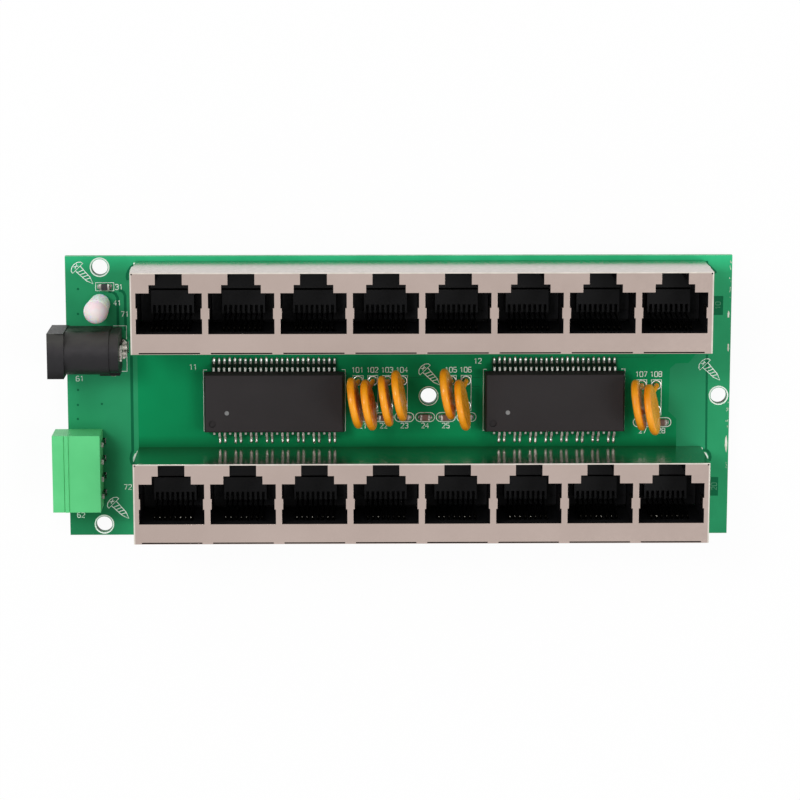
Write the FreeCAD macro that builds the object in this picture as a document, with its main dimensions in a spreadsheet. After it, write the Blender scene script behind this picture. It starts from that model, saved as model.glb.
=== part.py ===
import FreeCAD, Part
import math
import os
from types import SimpleNamespace

import Sketcher

# Bare board of a passive eight-port power injector for network cables, in millimetres.
# +X runs along the board, +Y towards the powered row of jacks, +Z up from the board.
# The origin lies under the middle of the outline, at the tips of the jacks' locating pegs.

# Driving dimensions, lengths in millimetres and angles in degrees
dimensions = {
    # board, with its four fixing holes; as long as the bay of the power inlets, the jacks and a margin
    "bay_clearance": 1.87,
    "right_margin": 5.63,
    "board_width": 56.6,
    "board_thickness": 1.6,
    "fixing_hole_dia": 3.2,
    "left_hole_inset": 6.85,
    "long_side_hole_inset": 2.2,
    "centre_hole_x": 1.68,
    "right_hole_inset": 2.2,
    # rows of jacks; places along the board between the rows are measured from their middle
    "poe_row_y": 19.36,
    "lan_row_y": -18.32,
    "port_pitch": 13.97,
    "jack_end_wall": 0.47,
    "jack_depth": 16.0,
    "jack_height": 16.8,
    # port openings: plug mouth, step above it and latch slot
    "mouth_width": 12.8,
    "mouth_height": 8.0,
    "step_width": 7.65,
    "step_rise": 1.6,
    "latch_width": 5.2,
    # folded shield
    "shield_thickness": 0.25,
    "shield_clearance": 0.05,
    "side_tab_width": 2.1,
    "side_tab_length": 5.0,
    "fold_bridge": 2.1,
    "fold_slot": 0.25,
    "fold_lip": 0.1,
    "ground_tab_width": 1.6,
    "ground_tab_offset": 6.4,
    # moulded housing
    "port_relief": 0.1,
    "peg_dia": 3.0,
    "peg_reach": 1.8,
    "peg_spread": 83.82,
    "peg_y": -5.9,
    # contact carrier in each port
    "carrier_clearance": 0.1,
    "carrier_floor": 5.0,
    "carrier_back_y": 2.9,
    "carrier_rear_gap": 0.3,
    "carrier_edge_y": -1.7,
    "carrier_ledge": 2.0,
    # contact springs
    "contact_pitch": 1.016,
    "contact_gauge": 0.4,
    "contact_clearance": 0.1,
    "contact_bend_depth": 3.0,
    "contact_tip_y": -1.9,
    "contact_tip_height": 3.2,
    # pins through the board
    "pin_clearance": 0.15,
    "tail_reach": 1.3,
    # signal transformers
    "magnetics_1_x": -29.12,
    "magnetics_2_x": 26.78,
    "magnetics_y": -0.8,
    "magnetics_length": 28.1,
    "magnetics_width": 12.3,
    "magnetics_height": 3.6,
    "magnetics_standoff": 0.2,
    "magnetics_draft": 11.0,
    "lead_pitch": 1.045,
    "lead_width": 0.45,
    "lead_thickness": 0.25,
    "lead_height": 1.6,
    "lead_span": 17.0,
    "lead_foot": 1.1,
    "lead_slope": 0.35,
    "lead_stub": 0.5,
    # resettable fuses
    "fuse_pitch": 2.95,
    "fuse_group_1_x": -12.42,
    "fuse_group_2_x": 6.23,
    "fuse_group_3_x": 44.33,
    "fuse_y": 0.58,
    "fuse_group_3_y": -0.4,
    "fuse_dia": 10.2,
    "fuse_thickness": 1.7,
    "fuse_height": 7.5,
    "fuse_yaw": 10.5,
    "fuse_lead_pitch": 5.08,
    "fuse_lead_gauge": 0.55,
    "fuse_lead_knee": 0.8,
    "fuse_seat_gap": 0.25,
    "fuse_1_lean": 5.4,
    "fuse_2_lean": 7.2,
    "fuse_3_lean": 4.0,
    "fuse_4_lean": 6.2,
    "fuse_5_lean": 8.0,
    "fuse_6_lean": 8.3,
    "fuse_7_lean": 10.5,
    "fuse_8_lean": 13.0,
    "fuse_1_sway": -4.8,
    "fuse_2_sway": -8.2,
    "fuse_3_sway": -1.7,
    "fuse_4_sway": 7.5,
    "fuse_5_sway": 10.0,
    "fuse_6_sway": -8.7,
    "fuse_7_sway": -1.3,
    "fuse_8_sway": -8.9,
    # chip capacitors and the chip resistor
    "chip_length": 2.0,
    "chip_width": 1.2,
    "chip_height": 0.85,
    "chip_end": 0.4,
    "capacitor_pitch": 4.15,
    "capacitor_row_x": -11.47,
    "capacitor_row_y": -4.3,
    "capacitor_pair_pitch": 3.73,
    "capacitor_pair_x": 44.68,
    "capacitor_pair_y": -5.45,
    "resistor_inset": 7.8,
    "resistor_y": 22.2,
    # indicator lamp
    "led_inset": 6.88,
    "led_y": 18.92,
    "led_dia": 4.8,
    "led_height": 8.6,
    "led_standoff": 0.8,
    "led_lean": 5.8,
    "led_tilt": 2.8,
    "led_lead_pitch": 2.54,
    "led_lead_gauge": 0.5,
    # barrel power jack
    "dc_y": 10.05,
    "dc_overhang": 2.8,
    "dc_length": 13.85,
    "dc_width": 9.0,
    "dc_height": 11.0,
    "dc_flange": 3.25,
    "dc_axis_height": 6.5,
    "dc_barrel_dia": 8.6,
    "dc_bore_dia": 6.4,
    "dc_bore_depth": 10.0,
    "dc_rear_length": 2.9,
    "dc_rear_drop": 0.3,
    "dc_boss_inset": 0.15,
    "dc_boss_length": 4.0,
    "dc_boss_height": 4.6,
    "dc_boss_rise": 0.7,
    "dc_pin_dia": 2.0,
    "dc_pin_recess": 1.6,
    "dc_metal": 0.4,
    "dc_plate_width": 3.2,
    "dc_lug_width": 4.0,
    "dc_lug_run": 1.05,
    "dc_lug_height": 2.6,
    "dc_lug_corner": 0.6,
    "dc_spring_width": 2.4,
    "dc_spring_rise": 0.4,
    "dc_spring_recess": 2.6,
    "dc_tail_width": 2.0,
    "dc_switch_width": 1.0,
    "dc_switch_shift": 0.55,
    "dc_fit": 0.1,
    # terminal header
    "header_y": -14.3,
    "header_overhang": 2.6,
    "header_length": 15.5,
    "header_depth": 9.45,
    "header_height": 7.25,
    "header_wall": 0.9,
    "header_rear_wall": 2.0,
    "header_pitch": 3.5,
    "header_pin": 1.0,
    "header_pin_recess": 2.0,
    "header_pin_inset": 0.55,
    "header_pin_height": 3.3,
    "header_rib_inset": 2.45,
    "header_rib_width": 0.75,
    "header_rib_height": 0.2,
    "header_key_width": 1.6,
    "header_key_depth": 0.4,
    "header_fit": 0.05,
}

port_count = 8
contact_count = 8
lead_count = 24
lead_group = 3
header_ways = 4
fuse_groups = (4, 2, 2)
capacitor_row = 6
capacitor_pair = 2
dome_angles = (45,)


class Dim:
    # a number together with the sheet expression that gives it

    def __init__(self, value, text):
        self.value = value
        self.text = text

    def joined(self, sign, other, value):
        return Dim(value, "(" + self.text + " " + sign + " " + other.text + ")")

    def __add__(self, other):
        other = dim(other)
        return self.joined("+", other, self.value + other.value)

    def __sub__(self, other):
        other = dim(other)
        return self.joined("-", other, self.value - other.value)

    def __mul__(self, other):
        other = dim(other)
        return self.joined("*", other, self.value * other.value)

    def __truediv__(self, other):
        other = dim(other)
        return self.joined("/", other, self.value / other.value)

    def __neg__(self):
        return dim(0) - self


def dim(number):
    return number if isinstance(number, Dim) else Dim(float(number), str(number))


def tangent(angle):
    return Dim(math.tan(math.radians(angle.value)), "tan(" + angle.text + ")")


doc = FreeCAD.newDocument("PowerInjector")
sheet = doc.addObject("Spreadsheet::Sheet", "Sizes")
d = SimpleNamespace()


def enter(alias, content, value):
    # one row of the sheet: name and number, or name and formula
    row = len(vars(d)) + 1
    sheet.set("A%d" % row, alias)
    sheet.set("B%d" % row, content)
    sheet.setAlias("B%d" % row, alias)
    setattr(d, alias, Dim(value, "Sizes." + alias))


def derive(alias, size):
    enter(alias, "=" + size.text.replace("Sizes.", ""), size.value)


for alias, number in dimensions.items():
    enter(alias, str(number), number)

# Values that follow from the driving ones and that several pieces share.
# Heights and places of a jack are in a frame at the middle of its row, on the board's top face.
derive("jack_length", d.port_pitch * port_count + d.jack_end_wall * 2)
derive("first_port", -(d.port_pitch * ((port_count - 1) / 2)))
derive("dc_reach", d.dc_length + d.dc_fit + d.dc_lug_run)
derive("bay_length", d.dc_reach - d.dc_overhang + d.bay_clearance)
derive("board_length", d.bay_length + d.jack_length + d.right_margin)
derive("board_x", d.dc_overhang / 2)
derive("board_left", d.board_x - d.board_length / 2)
derive("jack_x", d.board_left + d.bay_length + d.jack_length / 2)
derive("deck", d.peg_reach + d.board_thickness)
derive("tail_end", -(d.board_thickness + d.tail_reach))
derive("port_wall", d.mouth_height / 2 + d.port_relief)
derive("contact_back", d.contact_clearance - d.port_wall)
derive("contact_front", d.contact_back + d.contact_gauge)
doc.recompute()

subparts = []
zero = dim(0)
rows = (("poe", d.poe_row_y), ("lan", d.lan_row_y))


def bind(thing, path, size):
    thing.setExpression(path, dim(size).text)


def place(thing, x, y, z):
    for axis, size in zip("xyz", (x, y, z)):
        bind(thing, "Placement.Base." + axis, size)


def new_body(label, x, y, z):
    body = doc.addObject("PartDesign::Body", label)
    body.Label = label
    place(body, x, y, z)
    subparts.append(body)
    return body


def origin_feature(body, role):
    return [item for item in body.Origin.OriginFeatures if item.Role == role][0]


def new_sketch(body, plane, level=0):
    sketch = body.newObject("Sketcher::SketchObject", "Profile")
    sketch.AttachmentSupport = [(origin_feature(body, plane), "")]
    sketch.MapMode = "FlatFace"
    bind(sketch, "AttachmentOffset.Base.z", level)
    return sketch


def hold_points(sketch, links, spots):
    # adds the given links, then ties each point (geometry, end) to its place measured from the origin
    marks = list(links)
    texts = []
    for (geometry, end), x, y in spots:
        for kind, size in (("DistanceX", dim(x)), ("DistanceY", dim(y))):
            texts.append((len(marks), size.text))
            marks.append(Sketcher.Constraint(kind, -1, 1, geometry, end, size.value))
    first = sketch.ConstraintCount
    sketch.addConstraint(marks)
    for mark, text in texts:
        sketch.setExpression("Constraints[%d]" % (first + mark), text)


def polygon(sketch, corners):
    spots = [(dim(x), dim(y)) for x, y in corners]
    first = sketch.GeometryCount
    count = len(spots)
    points = [FreeCAD.Vector(x.value, y.value, 0) for x, y in spots]
    sketch.addGeometry([Part.LineSegment(points[i], points[(i + 1) % count]) for i in range(count)])
    links = []
    for i in range(count):
        links.append(Sketcher.Constraint("Coincident", first + i, 2, first + (i + 1) % count, 1))
    hold_points(sketch, links, [((first + i, 1), x, y) for i, (x, y) in enumerate(spots)])


def rectangle(sketch, x, y, width, height):
    left, right = x - dim(width) / 2, x + dim(width) / 2
    low, high = y - dim(height) / 2, y + dim(height) / 2
    polygon(sketch, [(left, low), (right, low), (right, high), (left, high)])


def circle(sketch, x, y, diameter):
    centre = FreeCAD.Vector(dim(x).value, dim(y).value, 0)
    up = FreeCAD.Vector(0, 0, 1)
    mark = sketch.addGeometry(Part.Circle(centre, up, diameter.value / 2))
    hold_points(sketch, [], [((mark, 3), x, y)])
    size = sketch.addConstraint(Sketcher.Constraint("Diameter", mark, diameter.value))
    sketch.setExpression("Constraints[%d]" % size, diameter.text)


def octagon(sketch, x, y, width):
    # eight equal sides, measured across the flats
    half = width / 2
    corner = half * (math.sqrt(2) - 1)
    ring = [(half, corner), (corner, half), (-corner, half), (-half, corner)]
    ring += [(-across, -up) for across, up in ring]
    polygon(sketch, [(x + across, y + up) for across, up in ring])


def new_feature(body, kind, name):
    feature = body.newObject("PartDesign::" + kind, name)
    feature.Refine = False
    body.Tip = feature
    return feature


def pad(body, sketch, length, centred=False, reverse=False):
    feature = new_feature(body, "Pad", "Pad")
    feature.Profile = sketch
    feature.Midplane = centred
    feature.Reversed = reverse
    bind(feature, "Length", length)
    return feature


def pocket(body, sketch, depth=None, reverse=False):
    feature = new_feature(body, "Pocket", "Pocket")
    feature.Profile = sketch
    feature.Reversed = reverse
    if depth is None:
        feature.Type = "ThroughAll"
        feature.Midplane = True
    else:
        bind(feature, "Length", depth)
    return feature


def row_of(body, feature, role, spacing, count):
    pattern = new_feature(body, "LinearPattern", "Row")
    pattern.Originals = [feature]
    pattern.Direction = (origin_feature(body, role), [""])
    pattern.Mode = "Spacing"
    bind(pattern, "Offset", spacing)
    pattern.Occurrences = count


def port_outline(sketch, x, margin, top):
    # the stepped mouth of a port: plug opening, step, latch slot up to the given height
    mouth = d.mouth_width / 2 + margin
    step = d.step_width / 2 + margin
    latch = d.latch_width / 2 + margin
    low = -(d.mouth_height / 2 + margin)
    shoulder = d.mouth_height / 2 + margin
    ledge = shoulder + d.step_rise
    right = [(mouth, low), (mouth, shoulder), (step, shoulder), (step, ledge), (latch, ledge), (latch, top)]
    corners = [(x + across, up) for across, up in right]
    corners += [(x - across, up) for across, up in reversed(right)]
    polygon(sketch, corners)


def make_shield(label, row_y):
    # one folded sheet: front with eight stepped mouths, slots along one fold, four walls, side tabs and
    # ground tabs
    body = new_body(label, d.jack_x, row_y, d.deck)
    outside = new_sketch(body, "XY_Plane")
    rectangle(outside, zero, zero, d.jack_length, d.jack_depth)
    pad(body, outside, d.jack_height)

    inside = new_sketch(body, "XY_Plane")
    wall_room = d.shield_thickness * 2
    rectangle(inside, zero, zero, d.jack_length - wall_room, d.jack_depth - wall_room)
    pocket(body, inside, d.jack_height - d.shield_thickness, reverse=True)

    mouth = new_sketch(body, "XY_Plane", d.jack_height)
    port_outline(mouth, d.first_port, zero, d.jack_depth / 2 - d.shield_thickness)
    row_of(body, pocket(body, mouth, d.shield_thickness), "X_Axis", d.port_pitch, port_count)

    slot = new_sketch(body, "XY_Plane", d.jack_height)
    slot_length = d.port_pitch - d.fold_bridge
    slot_y = (d.fold_slot - d.jack_depth) / 2 + d.fold_lip
    rectangle(slot, d.first_port, slot_y, slot_length, d.fold_slot)
    row_of(body, pocket(body, slot, d.shield_thickness), "X_Axis", d.port_pitch, port_count)

    tabs = new_sketch(body, "XY_Plane", d.jack_height)
    reach = d.mouth_width / 2 - d.shield_thickness / 2
    for side in (-1, 1):
        rectangle(tabs, d.first_port + reach * side, zero, d.shield_thickness, d.side_tab_width)
    side_tabs = pad(body, tabs, d.side_tab_length, reverse=True)
    row_of(body, side_tabs, "X_Axis", d.port_pitch, port_count)

    ground = new_sketch(body, "XY_Plane")
    for side in (-1, 1):
        for end in (-1, 1):
            x = (d.jack_length - d.shield_thickness) / 2 * side
            rectangle(ground, x, d.ground_tab_offset * end, d.shield_thickness, d.ground_tab_width)
    pad(body, ground, -d.tail_end, reverse=True)


def make_housing(label, row_y):
    # one moulding: block with eight stepped wells, latch slots open towards +Y, a bay through each floor
    # for its contact carrier, and two eight-sided pegs
    body = new_body(label, d.jack_x, row_y, d.deck)
    block = new_sketch(body, "XY_Plane")
    gap = d.shield_thickness + d.shield_clearance
    rectangle(block, zero, zero, d.jack_length - gap * 2, d.jack_depth - gap * 2)
    top = d.jack_height - gap
    pad(body, block, top)

    well = new_sketch(body, "XY_Plane", top)
    port_outline(well, d.first_port, d.port_relief, d.jack_depth / 2)
    row_of(body, pocket(body, well, top - d.carrier_floor), "X_Axis", d.port_pitch, port_count)

    bay = new_sketch(body, "XY_Plane")
    bay_back = d.carrier_back_y + d.carrier_rear_gap
    bay_width = d.mouth_width + d.port_relief * 2
    rectangle(bay, d.first_port, (bay_back - d.port_wall) / 2, bay_width, bay_back + d.port_wall)
    row_of(body, pocket(body, bay, d.carrier_floor, reverse=True), "X_Axis", d.port_pitch, port_count)

    pegs = new_sketch(body, "XY_Plane")
    for side in (-1, 1):
        octagon(pegs, d.peg_spread / 2 * side, d.peg_y, d.peg_dia)
    pad(body, pegs, d.deck, reverse=True)


def make_carriers(label, row_y):
    # one insert at the foot of each well, with a raised floor and a low ledge under the contacts
    body = new_body(label, d.jack_x, row_y, d.deck)
    side = new_sketch(body, "YZ_Plane", d.first_port)
    front = d.contact_front + d.contact_clearance
    polygon(side, [
        (front, zero),
        (d.carrier_back_y, zero),
        (d.carrier_back_y, d.carrier_floor),
        (d.carrier_edge_y, d.carrier_floor),
        (d.carrier_edge_y, d.carrier_ledge),
        (front, d.carrier_ledge),
    ])
    width = d.mouth_width + (d.port_relief - d.carrier_clearance) * 2
    row_of(body, pad(body, side, width, centred=True), "X_Axis", d.port_pitch, port_count)


def make_contacts(label, row_y, port):
    # eight spring wires: tail through the board, up the wall of the well, bent down towards the floor
    port_x = d.port_pitch * (port - (port_count + 1) / 2)
    body = new_body(label, d.jack_x + port_x, row_y, d.deck)
    side = new_sketch(body, "YZ_Plane", -(d.contact_pitch * ((contact_count - 1) / 2)))
    bend = d.jack_height - d.contact_bend_depth
    fall = (bend - d.contact_tip_height) / (d.contact_tip_y - d.contact_back)
    polygon(side, [
        (d.contact_back, d.tail_end),
        (d.contact_front, d.tail_end),
        (d.contact_front, bend - d.contact_gauge * 2 * fall),
        (d.contact_tip_y - d.contact_gauge, d.contact_tip_height),
        (d.contact_tip_y, d.contact_tip_height),
        (d.contact_back, bend),
    ])
    row_of(body, pad(body, side, d.contact_gauge, centred=True), "X_Axis", d.contact_pitch, contact_count)


# Values that the transformer bodies and their leads share
lead_row = d.lead_pitch * (lead_count - 1)
lead_rise = d.lead_height + d.lead_thickness / 2


def make_magnetics_body(label, x):
    # moulded block that narrows up and down from the plane of its leads
    body = new_body(label, d.jack_x + x, d.magnetics_y, d.deck)
    lower = d.lead_height + d.lead_thickness / 2 - d.magnetics_standoff
    upper = d.magnetics_height - lower
    for height, downwards in ((upper, False), (lower, True)):
        outline = new_sketch(body, "XY_Plane", lead_rise)
        rectangle(outline, zero, zero, d.magnetics_length, d.magnetics_width)
        half = pad(body, outline, height, reverse=downwards)
        bind(half, "TaperAngle", -d.magnetics_draft)


def lead_outline(sketch, side):
    # gull-wing lead seen from the end: shoulder at the body, sloping leg, flat foot
    edge = d.magnetics_width / 2
    toe = d.lead_span / 2
    heel = toe - d.lead_foot
    knee = heel - d.lead_slope
    top = d.lead_height + d.lead_thickness
    corners = [
        (edge, d.lead_height),
        (knee - d.lead_thickness, d.lead_height),
        (heel - d.lead_thickness, zero),
        (toe, zero),
        (toe, d.lead_thickness),
        (heel, d.lead_thickness),
        (knee, top),
        (edge, top),
    ]
    polygon(sketch, [(y * side, z) for y, z in corners])


def make_magnetics_leads(label, x):
    # a full row of leads on the +Y side; on the other side each third lead is clipped to a stub
    body = new_body(label, d.jack_x + x, d.magnetics_y, d.deck)
    start = -lead_row / 2
    groups = lead_count // lead_group
    full_row = new_sketch(body, "YZ_Plane", start)
    lead_outline(full_row, 1)
    row_of(body, pad(body, full_row, d.lead_width, centred=True), "X_Axis", d.lead_pitch, lead_count)
    for place_in_group in (1, 2):
        pair = new_sketch(body, "YZ_Plane", start + d.lead_pitch * place_in_group)
        lead_outline(pair, -1)
        lead = pad(body, pair, d.lead_width, centred=True)
        row_of(body, lead, "X_Axis", d.lead_pitch * lead_group, groups)
    stub = new_sketch(body, "YZ_Plane", start)
    middle = -(d.magnetics_width + d.lead_stub) / 2
    rectangle(stub, middle, lead_rise, d.lead_stub, d.lead_thickness)
    clipped = pad(body, stub, d.lead_width, centred=True)
    row_of(body, clipped, "X_Axis", d.lead_pitch * lead_group, groups)


# Middle between the two lead holes of each group's first fuse
fuse_starts = (
    (d.jack_x + d.fuse_group_1_x, d.fuse_y),
    (d.jack_x + d.fuse_group_2_x, d.fuse_y),
    (d.jack_x + d.fuse_group_3_x, d.fuse_group_3_y),
)


def fuse_seats():
    # number and place of each fuse, group by group
    number = 0
    for (x, y), count in zip(fuse_starts, fuse_groups):
        for step in range(count):
            number += 1
            yield number, x + d.fuse_pitch * step, y


def fuse_lean(number):
    return getattr(d, "fuse_%d_lean" % number), getattr(d, "fuse_%d_sway" % number)


def make_fuse(number, x, y):
    # coated disc standing on its leads and leaning towards -X
    lean, sway = fuse_lean(number)
    rise = d.fuse_height - d.fuse_lead_knee
    left = x - rise * tangent(lean)
    along = y + rise * tangent(sway)
    body = new_body("fuse_%d" % number, left, along, d.deck + d.fuse_height)
    bind(body, "Placement.Rotation.Yaw", d.fuse_yaw)
    bind(body, "Placement.Rotation.Pitch", -lean)
    face = new_sketch(body, "YZ_Plane")
    circle(face, zero, zero, d.fuse_dia)
    pad(body, face, d.fuse_thickness, centred=True)
    return body


def square_at(point, side):
    half = side / 2
    corners = [(-half, -half), (half, -half), (half, half), (-half, half), (-half, -half)]
    return Part.makePolygon([point + FreeCAD.Vector(x, y, 0) for x, y in corners])


def make_fuse_leads(discs):
    # two wires per fuse: straight through the board, then leaning to the foot of the disc
    wires = []
    radius = d.fuse_dia.value / 2
    for (number, x, y), disc in zip(fuse_seats(), discs):
        for side in (-1, 1):
            along = side * d.fuse_lead_pitch.value / 2
            hole = FreeCAD.Vector(x.value, y.value + along, d.deck.value)
            low = hole + FreeCAD.Vector(0, 0, d.tail_end.value)
            knee = hole + FreeCAD.Vector(0, 0, d.fuse_lead_knee.value)
            reach = math.sqrt(radius ** 2 - along ** 2) + d.fuse_seat_gap.value
            top = disc.Placement.multVec(FreeCAD.Vector(0, along, -reach))
            sections = [square_at(point, d.fuse_lead_gauge.value) for point in (low, knee, top)]
            wires.append(Part.makeLoft(sections, True, True))
    leads = doc.addObject("Part::Feature", "fuse_leads")
    leads.Label = "fuse_leads"
    leads.Shape = Part.makeCompound(wires)
    leads.Placement = FreeCAD.Placement()
    subparts.append(leads)


def make_chip_body(label, x, y):
    # ceramic block between the two end caps
    block = doc.addObject("Part::Box", label)
    block.Label = label
    length = d.chip_length - d.chip_end * 2
    bind(block, "Length", length)
    bind(block, "Width", d.chip_width)
    bind(block, "Height", d.chip_height)
    place(block, x - length / 2, y - d.chip_width / 2, d.deck)
    subparts.append(block)


def add_chip_ends(body, x, y, pitch, count):
    # pair of plated ends, repeated along the row
    ends = new_sketch(body, "XY_Plane")
    reach = (d.chip_length - d.chip_end) / 2
    for side in (-1, 1):
        rectangle(ends, x + reach * side, y, d.chip_end, d.chip_width)
    feature = pad(body, ends, d.chip_height)
    if count > 1:
        row_of(body, feature, "X_Axis", pitch, count)


def make_chips():
    number = 0
    places = (
        (d.jack_x + d.capacitor_row_x, d.capacitor_row_y, d.capacitor_pitch, capacitor_row),
        (d.jack_x + d.capacitor_pair_x, d.capacitor_pair_y, d.capacitor_pair_pitch, capacitor_pair),
    )
    ends = new_body("capacitor_end_caps", zero, zero, d.deck)
    for x, y, pitch, count in places:
        add_chip_ends(ends, x, y, pitch, count)
        for step in range(count):
            number += 1
            make_chip_body("capacitor_%d" % number, x + pitch * step, y)
    resistor_x = d.board_left + d.resistor_inset
    make_chip_body("resistor_body", resistor_x, d.resistor_y)
    resistor_ends = new_body("resistor_end_caps", zero, zero, d.deck)
    add_chip_ends(resistor_ends, resistor_x, d.resistor_y, zero, 1)


def make_led():
    # round lamp: barrel and dome in one lens, leaning over its two leads
    led_x = d.board_left + d.led_inset
    lens = new_body("led_lens", led_x, d.led_y, d.deck + d.led_standoff)
    bind(lens, "Placement.Rotation.Roll", d.led_lean)
    bind(lens, "Placement.Rotation.Pitch", -d.led_tilt)
    half = new_sketch(lens, "XZ_Plane")
    radius = d.led_dia / 2
    shoulder = d.led_height - radius
    corners = [(zero, zero), (radius, zero), (radius, shoulder)]
    for angle in dome_angles:
        across, up = math.cos(math.radians(angle)), math.sin(math.radians(angle))
        corners.append((radius * across, shoulder + radius * up))
    corners.append((zero, d.led_height))
    polygon(half, corners)
    turned = new_feature(lens, "Revolution", "Turned")
    turned.Profile = half
    turned.ReferenceAxis = (origin_feature(lens, "Z_Axis"), [""])
    turned.Angle = 360

    leads = new_body("led_leads", led_x, d.led_y, d.deck)
    feet = new_sketch(leads, "XY_Plane", d.tail_end)
    half_gauge = d.led_lead_gauge / 2
    slope = half_gauge * tangent(d.led_lean) + (d.led_lead_pitch / 2 + half_gauge) * tangent(d.led_tilt)
    for side in (-1, 1):
        rectangle(feet, d.led_lead_pitch / 2 * side, zero, d.led_lead_gauge, d.led_lead_gauge)
    pad(leads, feet, d.led_standoff - slope - d.tail_end)


# Places along the power jack, from its front face at X = 0
dc_front = d.board_left - d.dc_overhang
dc_half_barrel = d.dc_barrel_dia / 2
dc_lug_x = d.dc_length + d.dc_fit
dc_boss_x = d.dc_length - d.dc_boss_inset - d.dc_boss_length / 2
dc_switch_x = dc_boss_x + d.dc_switch_shift
dc_spring_foot = d.dc_axis_height - d.dc_bore_dia / 2 + d.dc_spring_rise
dc_boss_side = -(dc_half_barrel + d.dc_boss_rise)


def arch(sketch, width, height):
    # outline with straight sides up to the axis and a round top; height is that of the axis
    half = width / 2
    centre = FreeCAD.Vector(0, height.value, 0)
    crown = Part.Circle(centre, FreeCAD.Vector(0, 0, 1), half.value)
    spots = [(half, height), (half, zero), (-half, zero), (-half, height)]
    points = [FreeCAD.Vector(dim(x).value, dim(y).value, 0) for x, y in spots]
    lines = [Part.LineSegment(points[i + 1], points[i]) for i in range(len(points) - 1)]
    sketch.addGeometry([Part.ArcOfCircle(crown, 0, math.pi)] + lines)
    links = [
        Sketcher.Constraint("Coincident", 0, 1, 1, 2),
        Sketcher.Constraint("Coincident", 1, 1, 2, 2),
        Sketcher.Constraint("Coincident", 2, 1, 3, 2),
        Sketcher.Constraint("Coincident", 3, 1, 0, 2),
        Sketcher.Constraint("Horizontal", 0, 1, 0, 3),
        Sketcher.Constraint("Horizontal", 0, 2, 0, 3),
        Sketcher.Constraint("Vertical", 1),
        Sketcher.Constraint("Vertical", 3),
    ]
    hold_points(sketch, links, [((1, 1), half, zero), ((2, 1), -half, zero)])
    level = sketch.addConstraint(Sketcher.Constraint("DistanceY", -1, 1, 0, 3, height.value))
    sketch.setExpression("Constraints[%d]" % level, height.text)


def make_dc_housing():
    # moulded body: square flange, arched barrel, lower rear block, side boss and the bore for the plug
    body = new_body("dc_jack_housing", dc_front, d.dc_y, d.deck)
    flange = new_sketch(body, "YZ_Plane")
    rectangle(flange, zero, d.dc_height / 2, d.dc_width, d.dc_height)
    pad(body, flange, d.dc_flange)

    barrel = new_sketch(body, "YZ_Plane", d.dc_flange)
    arch(barrel, d.dc_barrel_dia, d.dc_axis_height)
    pad(body, barrel, d.dc_length - d.dc_flange - d.dc_rear_length)

    rear = new_sketch(body, "YZ_Plane", d.dc_length - d.dc_rear_length)
    arch(rear, d.dc_barrel_dia - d.dc_rear_drop * 2, d.dc_axis_height)
    pad(body, rear, d.dc_rear_length)

    boss = new_sketch(body, "XY_Plane")
    boss_depth = dc_half_barrel + d.dc_boss_rise
    rectangle(boss, dc_boss_x, -boss_depth / 2, d.dc_boss_length, boss_depth)
    pad(body, boss, d.dc_boss_height)

    bore = new_sketch(body, "YZ_Plane")
    circle(bore, zero, d.dc_axis_height, d.dc_bore_dia)
    pocket(body, bore, d.dc_bore_depth, reverse=True)

    shank = new_sketch(body, "YZ_Plane")
    shank_size = d.dc_pin_dia + d.dc_fit * 2
    rectangle(shank, zero, d.dc_axis_height, shank_size, shank_size)
    pocket(body, shank, d.dc_length, reverse=True)

    slots = new_sketch(body, "XY_Plane")
    slot_length = d.dc_metal + d.dc_fit * 2
    spring_x = d.dc_bore_depth - d.dc_metal / 2 - d.dc_fit
    rectangle(slots, spring_x, zero, slot_length, d.dc_spring_width + d.dc_fit * 2)
    pocket(body, slots, d.dc_axis_height, reverse=True)


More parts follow.
